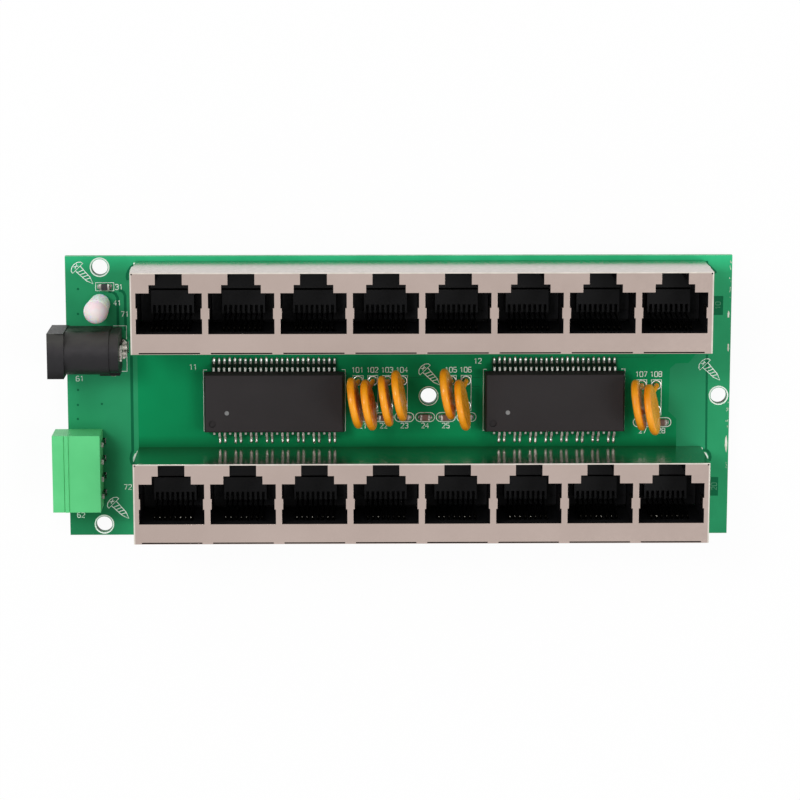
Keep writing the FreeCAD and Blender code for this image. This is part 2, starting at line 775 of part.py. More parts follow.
def make_dc_metal():
    # centre pin with its rear plate and stepped lug, spring for the plug's sleeve, and the switch terminal
    pin = new_body("dc_jack_centre_pin", dc_front, d.dc_y, d.deck)
    shank = new_sketch(pin, "YZ_Plane", d.dc_pin_recess)
    circle(shank, zero, d.dc_axis_height, d.dc_pin_dia)
    pad(pin, shank, dc_lug_x - d.dc_pin_recess)
    rear = d.dc_reach
    plate = new_sketch(pin, "XZ_Plane")
    plate_top = d.dc_axis_height + d.dc_pin_dia / 2
    plate_height = plate_top - d.dc_lug_height
    rectangle(plate, dc_lug_x + d.dc_metal / 2, plate_top - plate_height / 2, d.dc_metal, plate_height)
    pad(pin, plate, d.dc_plate_width, centred=True)
    lug = new_sketch(pin, "XZ_Plane")
    polygon(lug, [
        (dc_lug_x, d.dc_lug_height - d.dc_metal),
        (rear - d.dc_metal, d.dc_lug_height - d.dc_metal),
        (rear - d.dc_metal, zero),
        (rear, zero),
        (rear, d.dc_lug_height),
        (dc_lug_x, d.dc_lug_height),
    ])
    pad(pin, lug, d.dc_lug_width, centred=True)
    corners = new_sketch(pin, "XY_Plane")
    for side in (-1, 1):
        edge = d.dc_lug_width / 2 * side
        inner = edge - d.dc_lug_corner * side
        polygon(corners, [(rear, edge), (rear - d.dc_lug_corner, edge), (rear, inner)])
    pocket(pin, corners, d.dc_lug_height, reverse=True)
    tail = new_sketch(pin, "XZ_Plane")
    rectangle(tail, rear - d.dc_metal / 2, d.tail_end / 2, d.dc_metal, -d.tail_end)
    pad(pin, tail, d.dc_tail_width, centred=True)

    spring = new_body("dc_jack_sleeve_spring", dc_front, d.dc_y, d.deck)
    leaf = new_sketch(spring, "XZ_Plane")
    inner = d.dc_bore_depth - d.dc_fit
    polygon(leaf, [
        (d.dc_spring_recess, dc_spring_foot),
        (inner - d.dc_metal, dc_spring_foot),
        (inner - d.dc_metal, d.tail_end),
        (inner, d.tail_end),
        (inner, dc_spring_foot + d.dc_metal),
        (d.dc_spring_recess, dc_spring_foot + d.dc_metal),
    ])
    pad(spring, leaf, d.dc_spring_width, centred=True)

    switch = new_body("dc_jack_switch_terminal", dc_front, d.dc_y, d.deck)
    blade = new_sketch(switch, "XZ_Plane", -dc_boss_side + d.dc_metal / 2 + d.dc_fit)
    blade_top = d.dc_boss_height / 2
    rectangle(blade, dc_switch_x, (blade_top + d.tail_end) / 2, d.dc_switch_width, blade_top - d.tail_end)
    pad(switch, blade, d.dc_metal, centred=True)


# Places along the terminal header, from its open front face at X = 0
header_front = d.board_left - d.header_overhang
header_first = -(d.header_pitch * ((header_ways - 1) / 2))
header_pin_rear = d.header_depth - d.header_pin_inset + d.header_pin


def make_header():
    # moulded shell open towards -X, with a rib on its roof, key grooves under it and grooves down its back
    # for four bent pins
    body = new_body("terminal_header_housing", header_front, d.header_y, d.deck)
    block = new_sketch(body, "XY_Plane")
    rectangle(block, d.header_depth / 2, zero, d.header_depth, d.header_length)
    pad(body, block, d.header_height)

    rib = new_sketch(body, "XY_Plane", d.header_height)
    rib_x = d.header_rib_inset + d.header_rib_width / 2
    rectangle(rib, rib_x, zero, d.header_rib_width, d.header_length)
    pad(body, rib, d.header_rib_height)

    mouth = new_sketch(body, "YZ_Plane")
    inside_height = d.header_height - d.header_wall * 2
    rectangle(mouth, zero, d.header_height / 2, d.header_length - d.header_wall * 2, inside_height)
    inside_depth = d.header_depth - d.header_rear_wall
    pocket(body, mouth, inside_depth, reverse=True)

    key = new_sketch(body, "YZ_Plane")
    key_level = d.header_height - d.header_wall + d.header_key_depth / 2
    rectangle(key, header_first, key_level, d.header_key_width, d.header_key_depth)
    row_of(body, pocket(body, key, inside_depth, reverse=True), "Y_Axis", d.header_pitch, header_ways)

    hole = new_sketch(body, "YZ_Plane")
    hole_size = d.header_pin + d.header_fit * 2
    rectangle(hole, header_first, d.header_pin_height, hole_size, hole_size)
    row_of(body, pocket(body, hole, d.header_depth, reverse=True), "Y_Axis", d.header_pitch, header_ways)

    groove = new_sketch(body, "XY_Plane")
    groove_depth = d.header_pin_inset + d.header_fit
    groove_top = d.header_pin_height + hole_size / 2
    rectangle(groove, d.header_depth - groove_depth / 2, header_first, groove_depth, hole_size)
    row_of(body, pocket(body, groove, groove_top, reverse=True), "Y_Axis", d.header_pitch, header_ways)

    pins = new_body("terminal_header_pins", header_front, d.header_y, d.deck)
    side = new_sketch(pins, "XZ_Plane", -header_first)
    low = d.header_pin_height - d.header_pin / 2
    high = d.header_pin_height + d.header_pin / 2
    polygon(side, [
        (d.header_pin_recess, low),
        (header_pin_rear - d.header_pin, low),
        (header_pin_rear - d.header_pin, d.tail_end),
        (header_pin_rear, d.tail_end),
        (header_pin_rear, high),
        (d.header_pin_recess, high),
    ])
    row_of(pins, pad(pins, side, d.header_pin, centred=True), "Y_Axis", d.header_pitch, header_ways)


def cut_jack_openings(body, row_y):
    # tail slots of the contacts, slots of the ground tabs and holes for the pegs, under one row of jacks
    tails = new_sketch(body, "XY_Plane")
    tail_row = d.contact_pitch * (contact_count - 1) + d.contact_gauge + d.pin_clearance * 2
    tail_y = row_y + (d.contact_back + d.contact_front) / 2
    tail_slot = d.contact_gauge + d.pin_clearance * 2
    rectangle(tails, d.jack_x + d.first_port, tail_y, tail_row, tail_slot)
    row_of(body, pocket(body, tails), "X_Axis", d.port_pitch, port_count)

    others = new_sketch(body, "XY_Plane")
    width = d.shield_thickness + d.pin_clearance * 2
    length = d.ground_tab_width + d.pin_clearance * 2
    for side in (-1, 1):
        tab_x = d.jack_x + (d.jack_length - d.shield_thickness) / 2 * side
        for end in (-1, 1):
            rectangle(others, tab_x, row_y + d.ground_tab_offset * end, width, length)
        peg_x = d.jack_x + d.peg_spread / 2 * side
        octagon(others, peg_x, row_y + d.peg_y, d.peg_dia + d.pin_clearance * 2)
    pocket(body, others)


def cut_power_openings(body):
    # slots for the power jack's three terminals, the header's pins and the lamp's leads
    room = d.pin_clearance * 2
    slots = new_sketch(body, "XY_Plane")
    rear_x = dc_front + d.dc_reach - d.dc_metal / 2
    rectangle(slots, rear_x, d.dc_y, d.dc_metal + room, d.dc_tail_width + room)
    spring_x = dc_front + d.dc_bore_depth - d.dc_fit - d.dc_metal / 2
    rectangle(slots, spring_x, d.dc_y, d.dc_metal + room, d.dc_spring_width + room)
    side_y = d.dc_y + dc_boss_side - d.dc_metal / 2 - d.dc_fit
    rectangle(slots, dc_front + dc_switch_x, side_y, d.dc_switch_width + room, d.dc_metal + room)
    led_x = d.board_left + d.led_inset
    for side in (-1, 1):
        hole = d.led_lead_gauge + room
        rectangle(slots, led_x + d.led_lead_pitch / 2 * side, d.led_y, hole, hole)
    pocket(body, slots)

    pins = new_sketch(body, "XY_Plane")
    pin_x = header_front + header_pin_rear - d.header_pin / 2
    rectangle(pins, pin_x, d.header_y + header_first, d.header_pin + room, d.header_pin + room)
    row_of(body, pocket(body, pins), "Y_Axis", d.header_pitch, header_ways)


def cut_fuse_openings(body):
    side = d.fuse_lead_gauge + d.pin_clearance * 2
    for (x, y), count in zip(fuse_starts, fuse_groups):
        holes = new_sketch(body, "XY_Plane")
        for end in (-1, 1):
            rectangle(holes, x, y + d.fuse_lead_pitch / 2 * end, side, side)
        row_of(body, pocket(body, holes), "X_Axis", d.fuse_pitch, count)


def make_board():
    # glass-fibre board with four fixing holes and an opening for every pin, tab and peg
    body = new_body("circuit_board", zero, zero, d.peg_reach)
    outline = new_sketch(body, "XY_Plane")
    rectangle(outline, d.board_x, zero, d.board_length, d.board_width)
    pad(body, outline, d.board_thickness)

    fixing = new_sketch(body, "XY_Plane")
    left = d.board_left + d.left_hole_inset
    right = d.board_left + d.board_length - d.right_hole_inset
    edge = d.board_width / 2 - d.long_side_hole_inset
    for x, y in ((left, edge), (left, -edge), (d.jack_x + d.centre_hole_x, zero), (right, zero)):
        circle(fixing, x, y, d.fixing_hole_dia)
    pocket(body, fixing)

    for name, row_y in rows:
        cut_jack_openings(body, row_y)
    cut_power_openings(body)
    cut_fuse_openings(body)


make_board()
for name, row_y in rows:
    make_shield(name + "_jack_shield", row_y)
    make_housing(name + "_jack_housing", row_y)
    make_carriers(name + "_contact_carriers", row_y)
    for port in range(1, port_count + 1):
        make_contacts("%s_port_%d_contacts" % (name, port), row_y, port)
for number, x in ((1, d.magnetics_1_x), (2, d.magnetics_2_x)):
    make_magnetics_body("magnetics_%d_body" % number, x)
    make_magnetics_leads("magnetics_%d_leads" % number, x)
fuses = [make_fuse(number, x, y) for number, x, y in fuse_seats()]
doc.recompute()
make_fuse_leads(fuses)
make_chips()
make_led()
make_dc_housing()
make_dc_metal()
make_header()
doc.recompute()

for item in doc.Objects:
    if "Invalid" in item.State or "Error" in item.State:
        raise RuntimeError(item.Name + " of " + item.Label + " failed: " + str(item.State))
for item in subparts:
    if item.Shape.isNull() or not item.Shape.isValid() or not item.Shape.Solids:
        raise RuntimeError(item.Label + " has no valid solid")

os.makedirs("parts", exist_ok=True)
for item in subparts:
    item.Shape.exportStep(os.path.join("parts", item.Label + ".step"))
print(len(subparts), "sub-parts written")
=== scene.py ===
import math
import random

import bpy
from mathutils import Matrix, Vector


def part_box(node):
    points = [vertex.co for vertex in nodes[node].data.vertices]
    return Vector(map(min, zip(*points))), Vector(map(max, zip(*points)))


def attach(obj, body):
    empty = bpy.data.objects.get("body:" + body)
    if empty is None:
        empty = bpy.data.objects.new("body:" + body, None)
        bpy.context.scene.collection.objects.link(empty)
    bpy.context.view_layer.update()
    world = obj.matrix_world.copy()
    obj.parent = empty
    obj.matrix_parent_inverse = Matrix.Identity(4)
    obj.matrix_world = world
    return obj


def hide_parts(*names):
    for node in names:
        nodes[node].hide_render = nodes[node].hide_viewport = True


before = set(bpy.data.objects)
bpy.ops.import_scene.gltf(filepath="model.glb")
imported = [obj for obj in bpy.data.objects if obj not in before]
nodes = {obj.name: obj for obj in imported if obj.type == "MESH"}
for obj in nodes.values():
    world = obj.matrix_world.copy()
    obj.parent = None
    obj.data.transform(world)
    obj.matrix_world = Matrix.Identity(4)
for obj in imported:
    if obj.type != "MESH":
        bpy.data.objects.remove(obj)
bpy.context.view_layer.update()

mm = 0.001
scene = bpy.context.scene
scene.view_settings.view_transform = "Standard"
dice = random.Random(7)  # one seeded source for every small irregularity
mergeGap = 0.002  # mm, corners nearer than this are one
flatAngle = 0.5  # degrees, faces this near to a plane are one
sameLevel = 0.01  # mm, corners nearer than this are on one level
square = 0.9  # share of a normal along an axis, for a face that looks that way


# selection and modelling helpers

def clearSelection():
    if bpy.context.mode != "OBJECT":
        bpy.ops.object.mode_set(mode="OBJECT")
    bpy.ops.object.select_all(action="DESELECT")


def choose(*pieces):  # the last one becomes active
    clearSelection()
    for piece in pieces:
        piece.select_set(True)
    bpy.context.view_layer.objects.active = pieces[-1]


def editAll(piece):
    choose(piece)
    bpy.ops.object.mode_set(mode="EDIT")
    bpy.ops.mesh.select_all(action="SELECT")


def editFaces(piece, wanted):  # edit mode with the faces whose centre and normal pass the test
    choose(piece)
    for part in (piece.data.vertices, piece.data.edges, piece.data.polygons):
        part.foreach_set("select", [False] * len(part))
    for face in piece.data.polygons:
        face.select = wanted(face.center, face.normal)
    bpy.context.tool_settings.mesh_select_mode = (False, False, True)
    bpy.ops.object.mode_set(mode="EDIT")


def leaveEdit():
    bpy.ops.object.mode_set(mode="OBJECT")


def joined(pieces):
    choose(*reversed(pieces))
    if len(pieces) > 1:
        bpy.ops.object.join()
    return pieces[0]


def settle(piece):  # place, turn and scale go into the mesh
    choose(piece)
    bpy.ops.object.transform_apply(location=True, rotation=True, scale=True)


def twin(piece):
    copy = piece.copy()
    copy.data = piece.data.copy()
    scene.collection.objects.link(copy)
    return copy


def setAll(thing, settings):
    for name, value in settings.items():
        setattr(thing, name, value)


def applied(piece, kind, **settings):  # a modifier, set up and applied
    choose(piece)
    modifier = piece.modifiers.new(kind, kind)
    setAll(modifier, settings)
    bpy.ops.object.modifier_apply(modifier=modifier.name)


def softenEdges(piece, width, segments=2, angle=35):  # width in millimetres
    applied(piece, "BEVEL", width=width * mm, segments=segments, limit_method="ANGLE",
            angle_limit=math.radians(angle))


def cutAway(piece, cutter):
    applied(piece, "BOOLEAN", operation="DIFFERENCE", solver="EXACT", object=cutter)
    bpy.data.objects.remove(cutter)


def block(low, high):  # a cube primitive between two corners in metres, to be shaped further
    clearSelection()
    low, high = Vector(low), Vector(high)
    bpy.ops.mesh.primitive_cube_add(size=1, location=(low + high) / 2, scale=high - low)
    piece = bpy.context.object
    settle(piece)
    return piece


def rod(across, depth, sides, place=(0, 0, 0)):  # a round bar in millimetres, its middle at a place in metres
    clearSelection()
    bpy.ops.mesh.primitive_cylinder_add(vertices=sides, radius=across * mm / 2, depth=depth * mm, location=place)
    return bpy.context.object


def copyOfNode(nodeName):  # the frame's loose triangles as one merged mesh
    piece = bpy.data.objects.new(nodeName + ".copy", nodes[nodeName].data.copy())
    scene.collection.objects.link(piece)
    choose(piece)
    piece.data.materials.clear()
    bpy.ops.mesh.customdata_custom_splitnormals_clear()
    editAll(piece)
    bpy.ops.mesh.remove_doubles(threshold=mergeGap * mm)
    bpy.ops.mesh.dissolve_limited(angle_limit=math.radians(flatAngle))
    leaveEdit()
    return piece


def complete(piece, name, slotName, finish, *stands, smooth=40):
    piece.name = name
    piece.data.name = name
    piece.data.materials.clear()
    piece.data.materials.append(finish)
    choose(piece)
    bpy.ops.object.shade_smooth_by_angle(angle=math.radians(smooth))
    applied(piece, "WEIGHTED_NORMAL", keep_sharp=True)
    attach(piece, "root")
    if stands:
        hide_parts(*stands)


def dressNode(node, name, slotName, finish, edge, segments=2, angle=35):  # a node's copy with soft edges
    piece = copyOfNode(node)
    softenEdges(piece, edge, segments, angle)
    complete(piece, name, slotName, finish, node)


def middle(nodeName):
    low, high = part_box(nodeName)
    return (low + high) / 2


def curveMesh(paths, tapers=(), **settings):  # lines through places in metres, closed where they meet their start
    curve = bpy.data.curves.new("curve", "CURVE")
    setAll(curve, settings)
    for path in paths:
        closed = len(path) > 2 and path[0] == path[-1]
        spots = path[:-1] if closed else path
        line = curve.splines.new("POLY")
        line.points.add(len(spots) - 1)
        line.use_cyclic_u = closed
        for point, spot in zip(line.points, spots):
            point.co = (*spot, 1)
        for point, share in zip(line.points, tapers):
            point.radius = share
    piece = bpy.data.objects.new("curve", curve)
    scene.collection.objects.link(piece)
    choose(piece)
    bpy.ops.object.convert(target="MESH")
    return bpy.context.object


def wires(paths, radius, sides=1, tapers=()):  # round wires in metres
    return curveMesh(paths, tapers, dimensions="3D", bevel_depth=radius, bevel_resolution=sides, use_fill_caps=True)


def flatten(piece, level, share):  # pressed flat towards a height in metres
    editAll(piece)
    bpy.ops.transform.resize(value=(1, 1, share), center_override=(0, 0, level))
    leaveEdit()


def flatLines(paths, width, height):  # lines in millimetres lying on the board, closed where they meet their start
    lines = wires([[(x * mm, y * mm, deck) for x, y in path] for path in paths], width * mm / 2, sides=0)
    flatten(lines, deck, height / (width / 2))
    return lines


def flatSheet(path, height):  # a filled outline in millimetres lying on the board
    spots = [(x * mm, y * mm, 0) for x, y in path]
    sheet = curveMesh([spots + spots[:1]], dimensions="2D", fill_mode="BOTH", extrude=height * mm)
    sheet.location.z = deck
    settle(sheet)
    return sheet


def boxAt(x, y, width, height):
    left, right, low, high = x - width / 2, x + width / 2, y - height / 2, y + height / 2
    return [(left, low), (right, low), (right, high), (left, high), (left, low)]


def facesUp(centre, normal):
    return normal.z > square


def pulledUp(piece, steps):  # raises the top face in steps of (rise, share of its size)
    editFaces(piece, facesUp)
    for rise, share in steps:
        bpy.ops.mesh.extrude_region_move(TRANSFORM_OT_translate={"value": (0, 0, rise * mm)})
        bpy.ops.transform.resize(value=(share, share, 1))
    leaveEdit()


def repeated(piece, spots, sizes=None, turn=False):  # copies of a piece made at the origin, as one mesh
    copies = [piece] + [twin(piece) for spot in spots[1:]]
    for number, (copy, spot) in enumerate(zip(copies, spots)):
        copy.location = spot
        copy.scale = sizes[number] if sizes else (1, 1, 1)
        copy.rotation_euler.z = dice.uniform(0, math.tau) if turn else 0
    whole = joined(copies)
    settle(whole)
    return whole


def bead(size, sides=10, rings=6, sunk=0.02):  # a drop of solder with a flat foot, size in millimetres
    clearSelection()
    bpy.ops.mesh.primitive_uv_sphere_add(segments=sides, ring_count=rings, radius=1)
    drop = bpy.context.object
    editAll(drop)
    bpy.ops.transform.resize(value=(size[0] * mm / 2, size[1] * mm / 2, size[2] * mm))
    bpy.ops.mesh.bisect(plane_co=(0, 0, -sunk * mm), plane_no=(0, 0, 1), clear_inner=True, use_fill=True)
    leaveEdit()
    return drop


def drops(size, spots, vary):  # no two alike: vary holds the limits of each of their three measures
    return repeated(bead(size), spots, [[dice.uniform(*limits) for limits in vary] for spot in spots])


def looseSolids(nodeName):  # each loose solid of a node as its corner points, low to high
    piece = copyOfNode(nodeName)
    editAll(piece)
    bpy.ops.mesh.separate(type="LOOSE")
    leaveEdit()
    solids = list(bpy.context.selected_objects)
    corners = [sorted((v.co.copy() for v in solid.data.vertices), key=lambda co: co.z) for solid in solids]
    for solid in solids:
        bpy.data.objects.remove(solid)
    return corners


# shared surface effects

noiseMiddle = (0.35, 0.65)  # the useful part of a noise value
topSlope = 0.5  # upward share of the normal that parts top faces from walls
plainDrift = 60.0
plainGrain = (3000.0, 0.0, 0.0)


def addNode(tree, kind, inputs=None, **settings):  # inputs are plain values or sockets of other nodes
    node = tree.nodes.new("ShaderNode" + kind)
    setAll(node, settings)
    for key, value in (inputs or {}).items():
        if isinstance(value, bpy.types.NodeSocket):
            tree.links.new(value, node.inputs[key])
        else:
            node.inputs[key].default_value = value
    return node


def calc(operation, first, second=0.0):
    tree = (first if isinstance(first, bpy.types.NodeSocket) else second).id_data
    return addNode(tree, "Math", {0: first, 1: second}, operation=operation).outputs["Value"]


def mapped(value, start, end, low=0.0, high=1.0):  # start to end becomes low to high, and no further
    inputs = {"Value": value, "From Min": start, "From Max": end, "To Min": low, "To Max": high}
    return addNode(value.id_data, "MapRange", inputs).outputs["Result"]


def blend(share, first, second):
    return addNode(share.id_data, "Mix", {"Factor": share, 6: first, 7: second}, data_type="RGBA").outputs[2]


def axesOf(tree, kind, socketName):
    return addNode(tree, "SeparateXYZ", {"Vector": addNode(tree, kind).outputs[socketName]}).outputs


def awayFrom(value, centre):
    return calc("ABSOLUTE", calc("SUBTRACT", value, centre))


def cloud(tree, scale, detail):  # noise over the object's own places
    place = addNode(tree, "TexCoord").outputs["Object"]
    return addNode(tree, "TexNoise", {"Vector": place, "Scale": scale, "Detail": detail}).outputs["Fac"]


def newGroup(name, inputs, outputs):  # socket names and their kinds
    group = bpy.data.node_groups.new(name, "ShaderNodeTree")
    for direction, sockets in (("INPUT", inputs), ("OUTPUT", outputs)):
        for socketName, kind in sockets.items():
            group.interface.new_socket(socketName, in_out=direction, socket_type="NodeSocket" + kind)
    return group, group.nodes.new("NodeGroupInput").outputs, group.nodes.new("NodeGroupOutput").inputs


def makeToneDrift():  # slow drift between two colours
    inputs = {"Light": "Color", "Dark": "Color", "Scale": "Float"}
    group, source, result = newGroup("toneDrift", inputs, {"Color": "Color"})
    share = mapped(cloud(group, source["Scale"], detail=3.0), *noiseMiddle)
    group.links.new(blend(share, source["Dark"], source["Light"]), result["Color"])
    return group


def makeFineGrain():  # small grain for roughness and bump
    inputs = {"Scale": "Float", "Smooth": "Float", "Rough": "Float"}
    group, source, result = newGroup("fineGrain", inputs, {"Roughness": "Float", "Height": "Float"})
    noise = cloud(group, source["Scale"], detail=2.0)
    group.links.new(mapped(noise, *noiseMiddle, source["Smooth"], source["Rough"]), result["Roughness"])
    group.links.new(noise, result["Height"])
    return group


toneDrift = makeToneDrift()
fineGrain = makeFineGrain()


def tint(red, green, blue):  # colour as seen on a screen, 0 to 255, turned linear
    def linear(level):
        level /= 255
        return level / 12.92 if level <= 0.04045 else ((level + 0.055) / 1.055) ** 2.4
    return (linear(red), linear(green), linear(blue), 1.0)


def driftOf(tree, tones, scale):
    light, dark = tones
    inputs = {"Light": tint(*light), "Dark": tint(*dark), "Scale": scale}
    return addNode(tree, "Group", inputs, node_tree=toneDrift).outputs["Color"]


def finishOf(name, look):  # tones are light and dark, grain is scale, depth in mm and strength, the rest shader sockets
    material = bpy.data.materials.new(name)
    material.use_nodes = True
    tree = material.node_tree
    shader = tree.nodes["Principled BSDF"].inputs
    tree.links.new(driftOf(tree, look["tones"], look.get("drift", plainDrift)), shader["Base Color"])
    scale, depth, strength = look.get("grain", plainGrain)
    inputs = {"Scale": scale, "Smooth": look["rough"][0], "Rough": look["rough"][1]}
    grain = addNode(tree, "Group", inputs, node_tree=fineGrain).outputs
    tree.links.new(grain["Roughness"], shader["Roughness"])
    if depth:
        inputs = {"Strength": strength, "Distance": depth * mm, "Height": grain["Height"]}
        tree.links.new(addNode(tree, "Bump", inputs).outputs["Normal"], shader["Normal"])
    for socketName in look:
        if socketName in shader:
            shader[socketName].default_value = look[socketName]
    return material


def overlay(material, share, tones, scale):  # other tones laid over the base colour
    tree = material.node_tree
    colour = tree.nodes["Principled BSDF"].inputs["Base Color"]
    tree.links.new(blend(share, colour.links[0].from_socket, driftOf(tree, tones, scale)), colour)


def toneAlong(material, axis, stops, stir, scale=600.0):  # colours at places in mm along an axis, stirred by noise
    tree = material.node_tree
    place = addNode(tree, "TexCoord").outputs["Object"]
    along = addNode(tree, "VectorMath", {0: place, 1: axis}, operation="DOT_PRODUCT").outputs["Value"]
    noise = mapped(cloud(tree, scale, detail=3.0), *noiseMiddle, -stir * mm / 2, stir * mm / 2)
    first, last = stops[0][0], stops[-1][0]
    ramp = addNode(tree, "ValToRGB", {"Fac": mapped(calc("ADD", along, noise), first * mm, last * mm)})
    elements = ramp.color_ramp.elements
    elements[0].color, elements[1].color = tint(*stops[0][1]), tint(*stops[-1][1])
    for spot, colour in stops[1:-1]:
        elements.new((spot - first) / (last - first)).color = tint(*colour)
    tree.links.new(ramp.outputs["Color"], tree.nodes["Principled BSDF"].inputs["Base Color"])


print("helpers and shared effects ready")

# stage: white floor, soft light from above, camera looking down on the board

stageSet = {
    "floorSize": 4.0,
    "floorCuts": 3,
    "paper": (0.9, 0.9, 0.9, 1),
    "paperRough": 0.9,
    "floorDrop": 0.05,  # mm under the lowest point
    "whiteShare": 0.95,  # how much of the seen floor is plain white, the rest keeps the shadow
    "skySides": 1.05,
    "skyTop": 0.2,  # dim overhead, so that wells and gaps stay dark
    "skyTurn": (0.5, 0.9),  # where the sides give way to the top
    "lamps": (  # place, size, watts
        ((-0.45, 0.35, 0.80), 0.3, 3.0),
        ((0.55, -0.10, 0.75), 0.35, 2.0),
    ),
    "cameraPlace": (-0.00644029, 0.10632612, 0.57406792),
    "cameraTurn": (-0.1855446, -0.0140154, 0.0002265),
    "lens": 130.598,
    "sensor": 36.0,
}


def seenRays(tree):  # 1 for what the camera sees directly, in a mirror or through a lens
    path = addNode(tree, "LightPath").outputs
    seen = calc("MAXIMUM", path["Is Camera Ray"], path["Is Glossy Ray"])
    return calc("MAXIMUM", seen, path["Is Transmission Ray"])


def makeFloor():
    clearSelection()
    bpy.ops.mesh.primitive_plane_add(size=stageSet["floorSize"])
    floor = bpy.context.object
    floor.name = "studioFloor"
    editAll(floor)
    bpy.ops.mesh.subdivide(number_cuts=stageSet["floorCuts"])
    bpy.ops.transform.translate(value=(0, 0, -stageSet["floorDrop"] * mm))
    leaveEdit()
    paper = bpy.data.materials.new("studioPaper")
    paper.use_nodes = True
    tree = paper.node_tree
    shade = tree.nodes["Principled BSDF"]
    shade.inputs["Base Color"].default_value = stageSet["paper"]
    shade.inputs["Roughness"].default_value = stageSet["paperRough"]
    share = calc("MULTIPLY", seenRays(tree), stageSet["whiteShare"])
    glow = addNode(tree, "Emission").outputs["Emission"]
    mixed = addNode(tree, "MixShader", {"Fac": share, 1: shade.outputs["BSDF"], 2: glow})
    tree.links.new(mixed.outputs["Shader"], tree.nodes["Material Output"].inputs["Surface"])
    floor.data.materials.append(paper)


def makeSky():
    world = bpy.data.worlds.new("studioSky")
    scene.world = world
    world.use_nodes = True
    tree = world.node_tree
    upward = axesOf(tree, "TexCoord", "Generated")["Z"]
    dome = mapped(upward, *stageSet["skyTurn"], stageSet["skySides"], stageSet["skyTop"])
    sky = tree.nodes["Background"].inputs
    sky["Color"].default_value = (1, 1, 1, 1)
    tree.links.new(mapped(seenRays(tree), 0.0, 1.0, dome, 1.0), sky["Strength"])


def placed(name, data, place, turn):
    holder = bpy.data.objects.new(name, data)
    scene.collection.objects.link(holder)
    holder.location = place
    holder.rotation_euler = turn
    return holder


def makeLamps():
    for number, (place, size, power) in enumerate(stageSet["lamps"], 1):
        lamp = bpy.data.lights.new("softbox%d" % number, "AREA")
        lamp.size = size
        lamp.energy = power
        placed("softbox%d" % number, lamp, place, (-Vector(place)).to_track_quat("-Z", "Y").to_euler())


def makeCamera():
    lens = bpy.data.cameras.new("photoCamera")
    lens.lens = stageSet["lens"]
    lens.sensor_width = stageSet["sensor"]
    scene.camera = placed("photoCamera", lens, stageSet["cameraPlace"], stageSet["cameraTurn"])


makeFloor()
makeSky()
makeLamps()
makeCamera()
print("stage set")

# circuit board: the frame's own solid, with a lacquer that gives way to bare laminate on the edges, and painted shade
# and light in some zones on top

boardLook = {
    "margin": ((47, 159, 107), (42, 149, 99)),  # lighter, beyond the ends of the jack rows
    "marginLeft": -50.77,  # mm along X
    "marginRight": 62.85,
    # painted light: the strip behind the upper row turns lighter towards the rear edge
    "rear": ((57, 197, 137), (49, 185, 125)),
    "rearLightReach": 2.5,
    "foot": ((5, 106, 60), (4, 96, 53)),  # painted shade: a dark strip on the board along the foot of the lower row's wall
    "footShadeReach": 2.4,
    "headerShadow": ((34, 126, 82), (29, 116, 74)),  # painted shadow of the terminal header on the board beside it
    "headerShadowReach": 7.0,
    "headerShadowFade": (2.0, -3.0),  # mm past the header's upper side
    "leads": ((14, 58, 38), (10, 46, 30)),  # painted shade on the board between the upper leads of the transformers
    "leadShadeReach": 0.7,
    "leadShadeFade": (0.5, -0.7),  # mm past the toes
    "bore": ((62, 66, 46), (44, 50, 34)),
    "rim": ((118, 188, 146), (94, 166, 122)),
    "rimReach": 0.75,  # walls nearer to the outline than this belong to the rim
    "zoneDrift": 90.0,
    "finish": {"tones": ((12, 149, 91), (8, 135, 81)), "drift": 45.0, "rough": (0.3, 0.46),
               "grain": (900.0, 0.02, 0.2), "Specular IOR Level": 0.07},
}
boardLow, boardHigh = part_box("circuit_board")
deck = boardHigh.z  # top face of the board
underside = boardLow.z


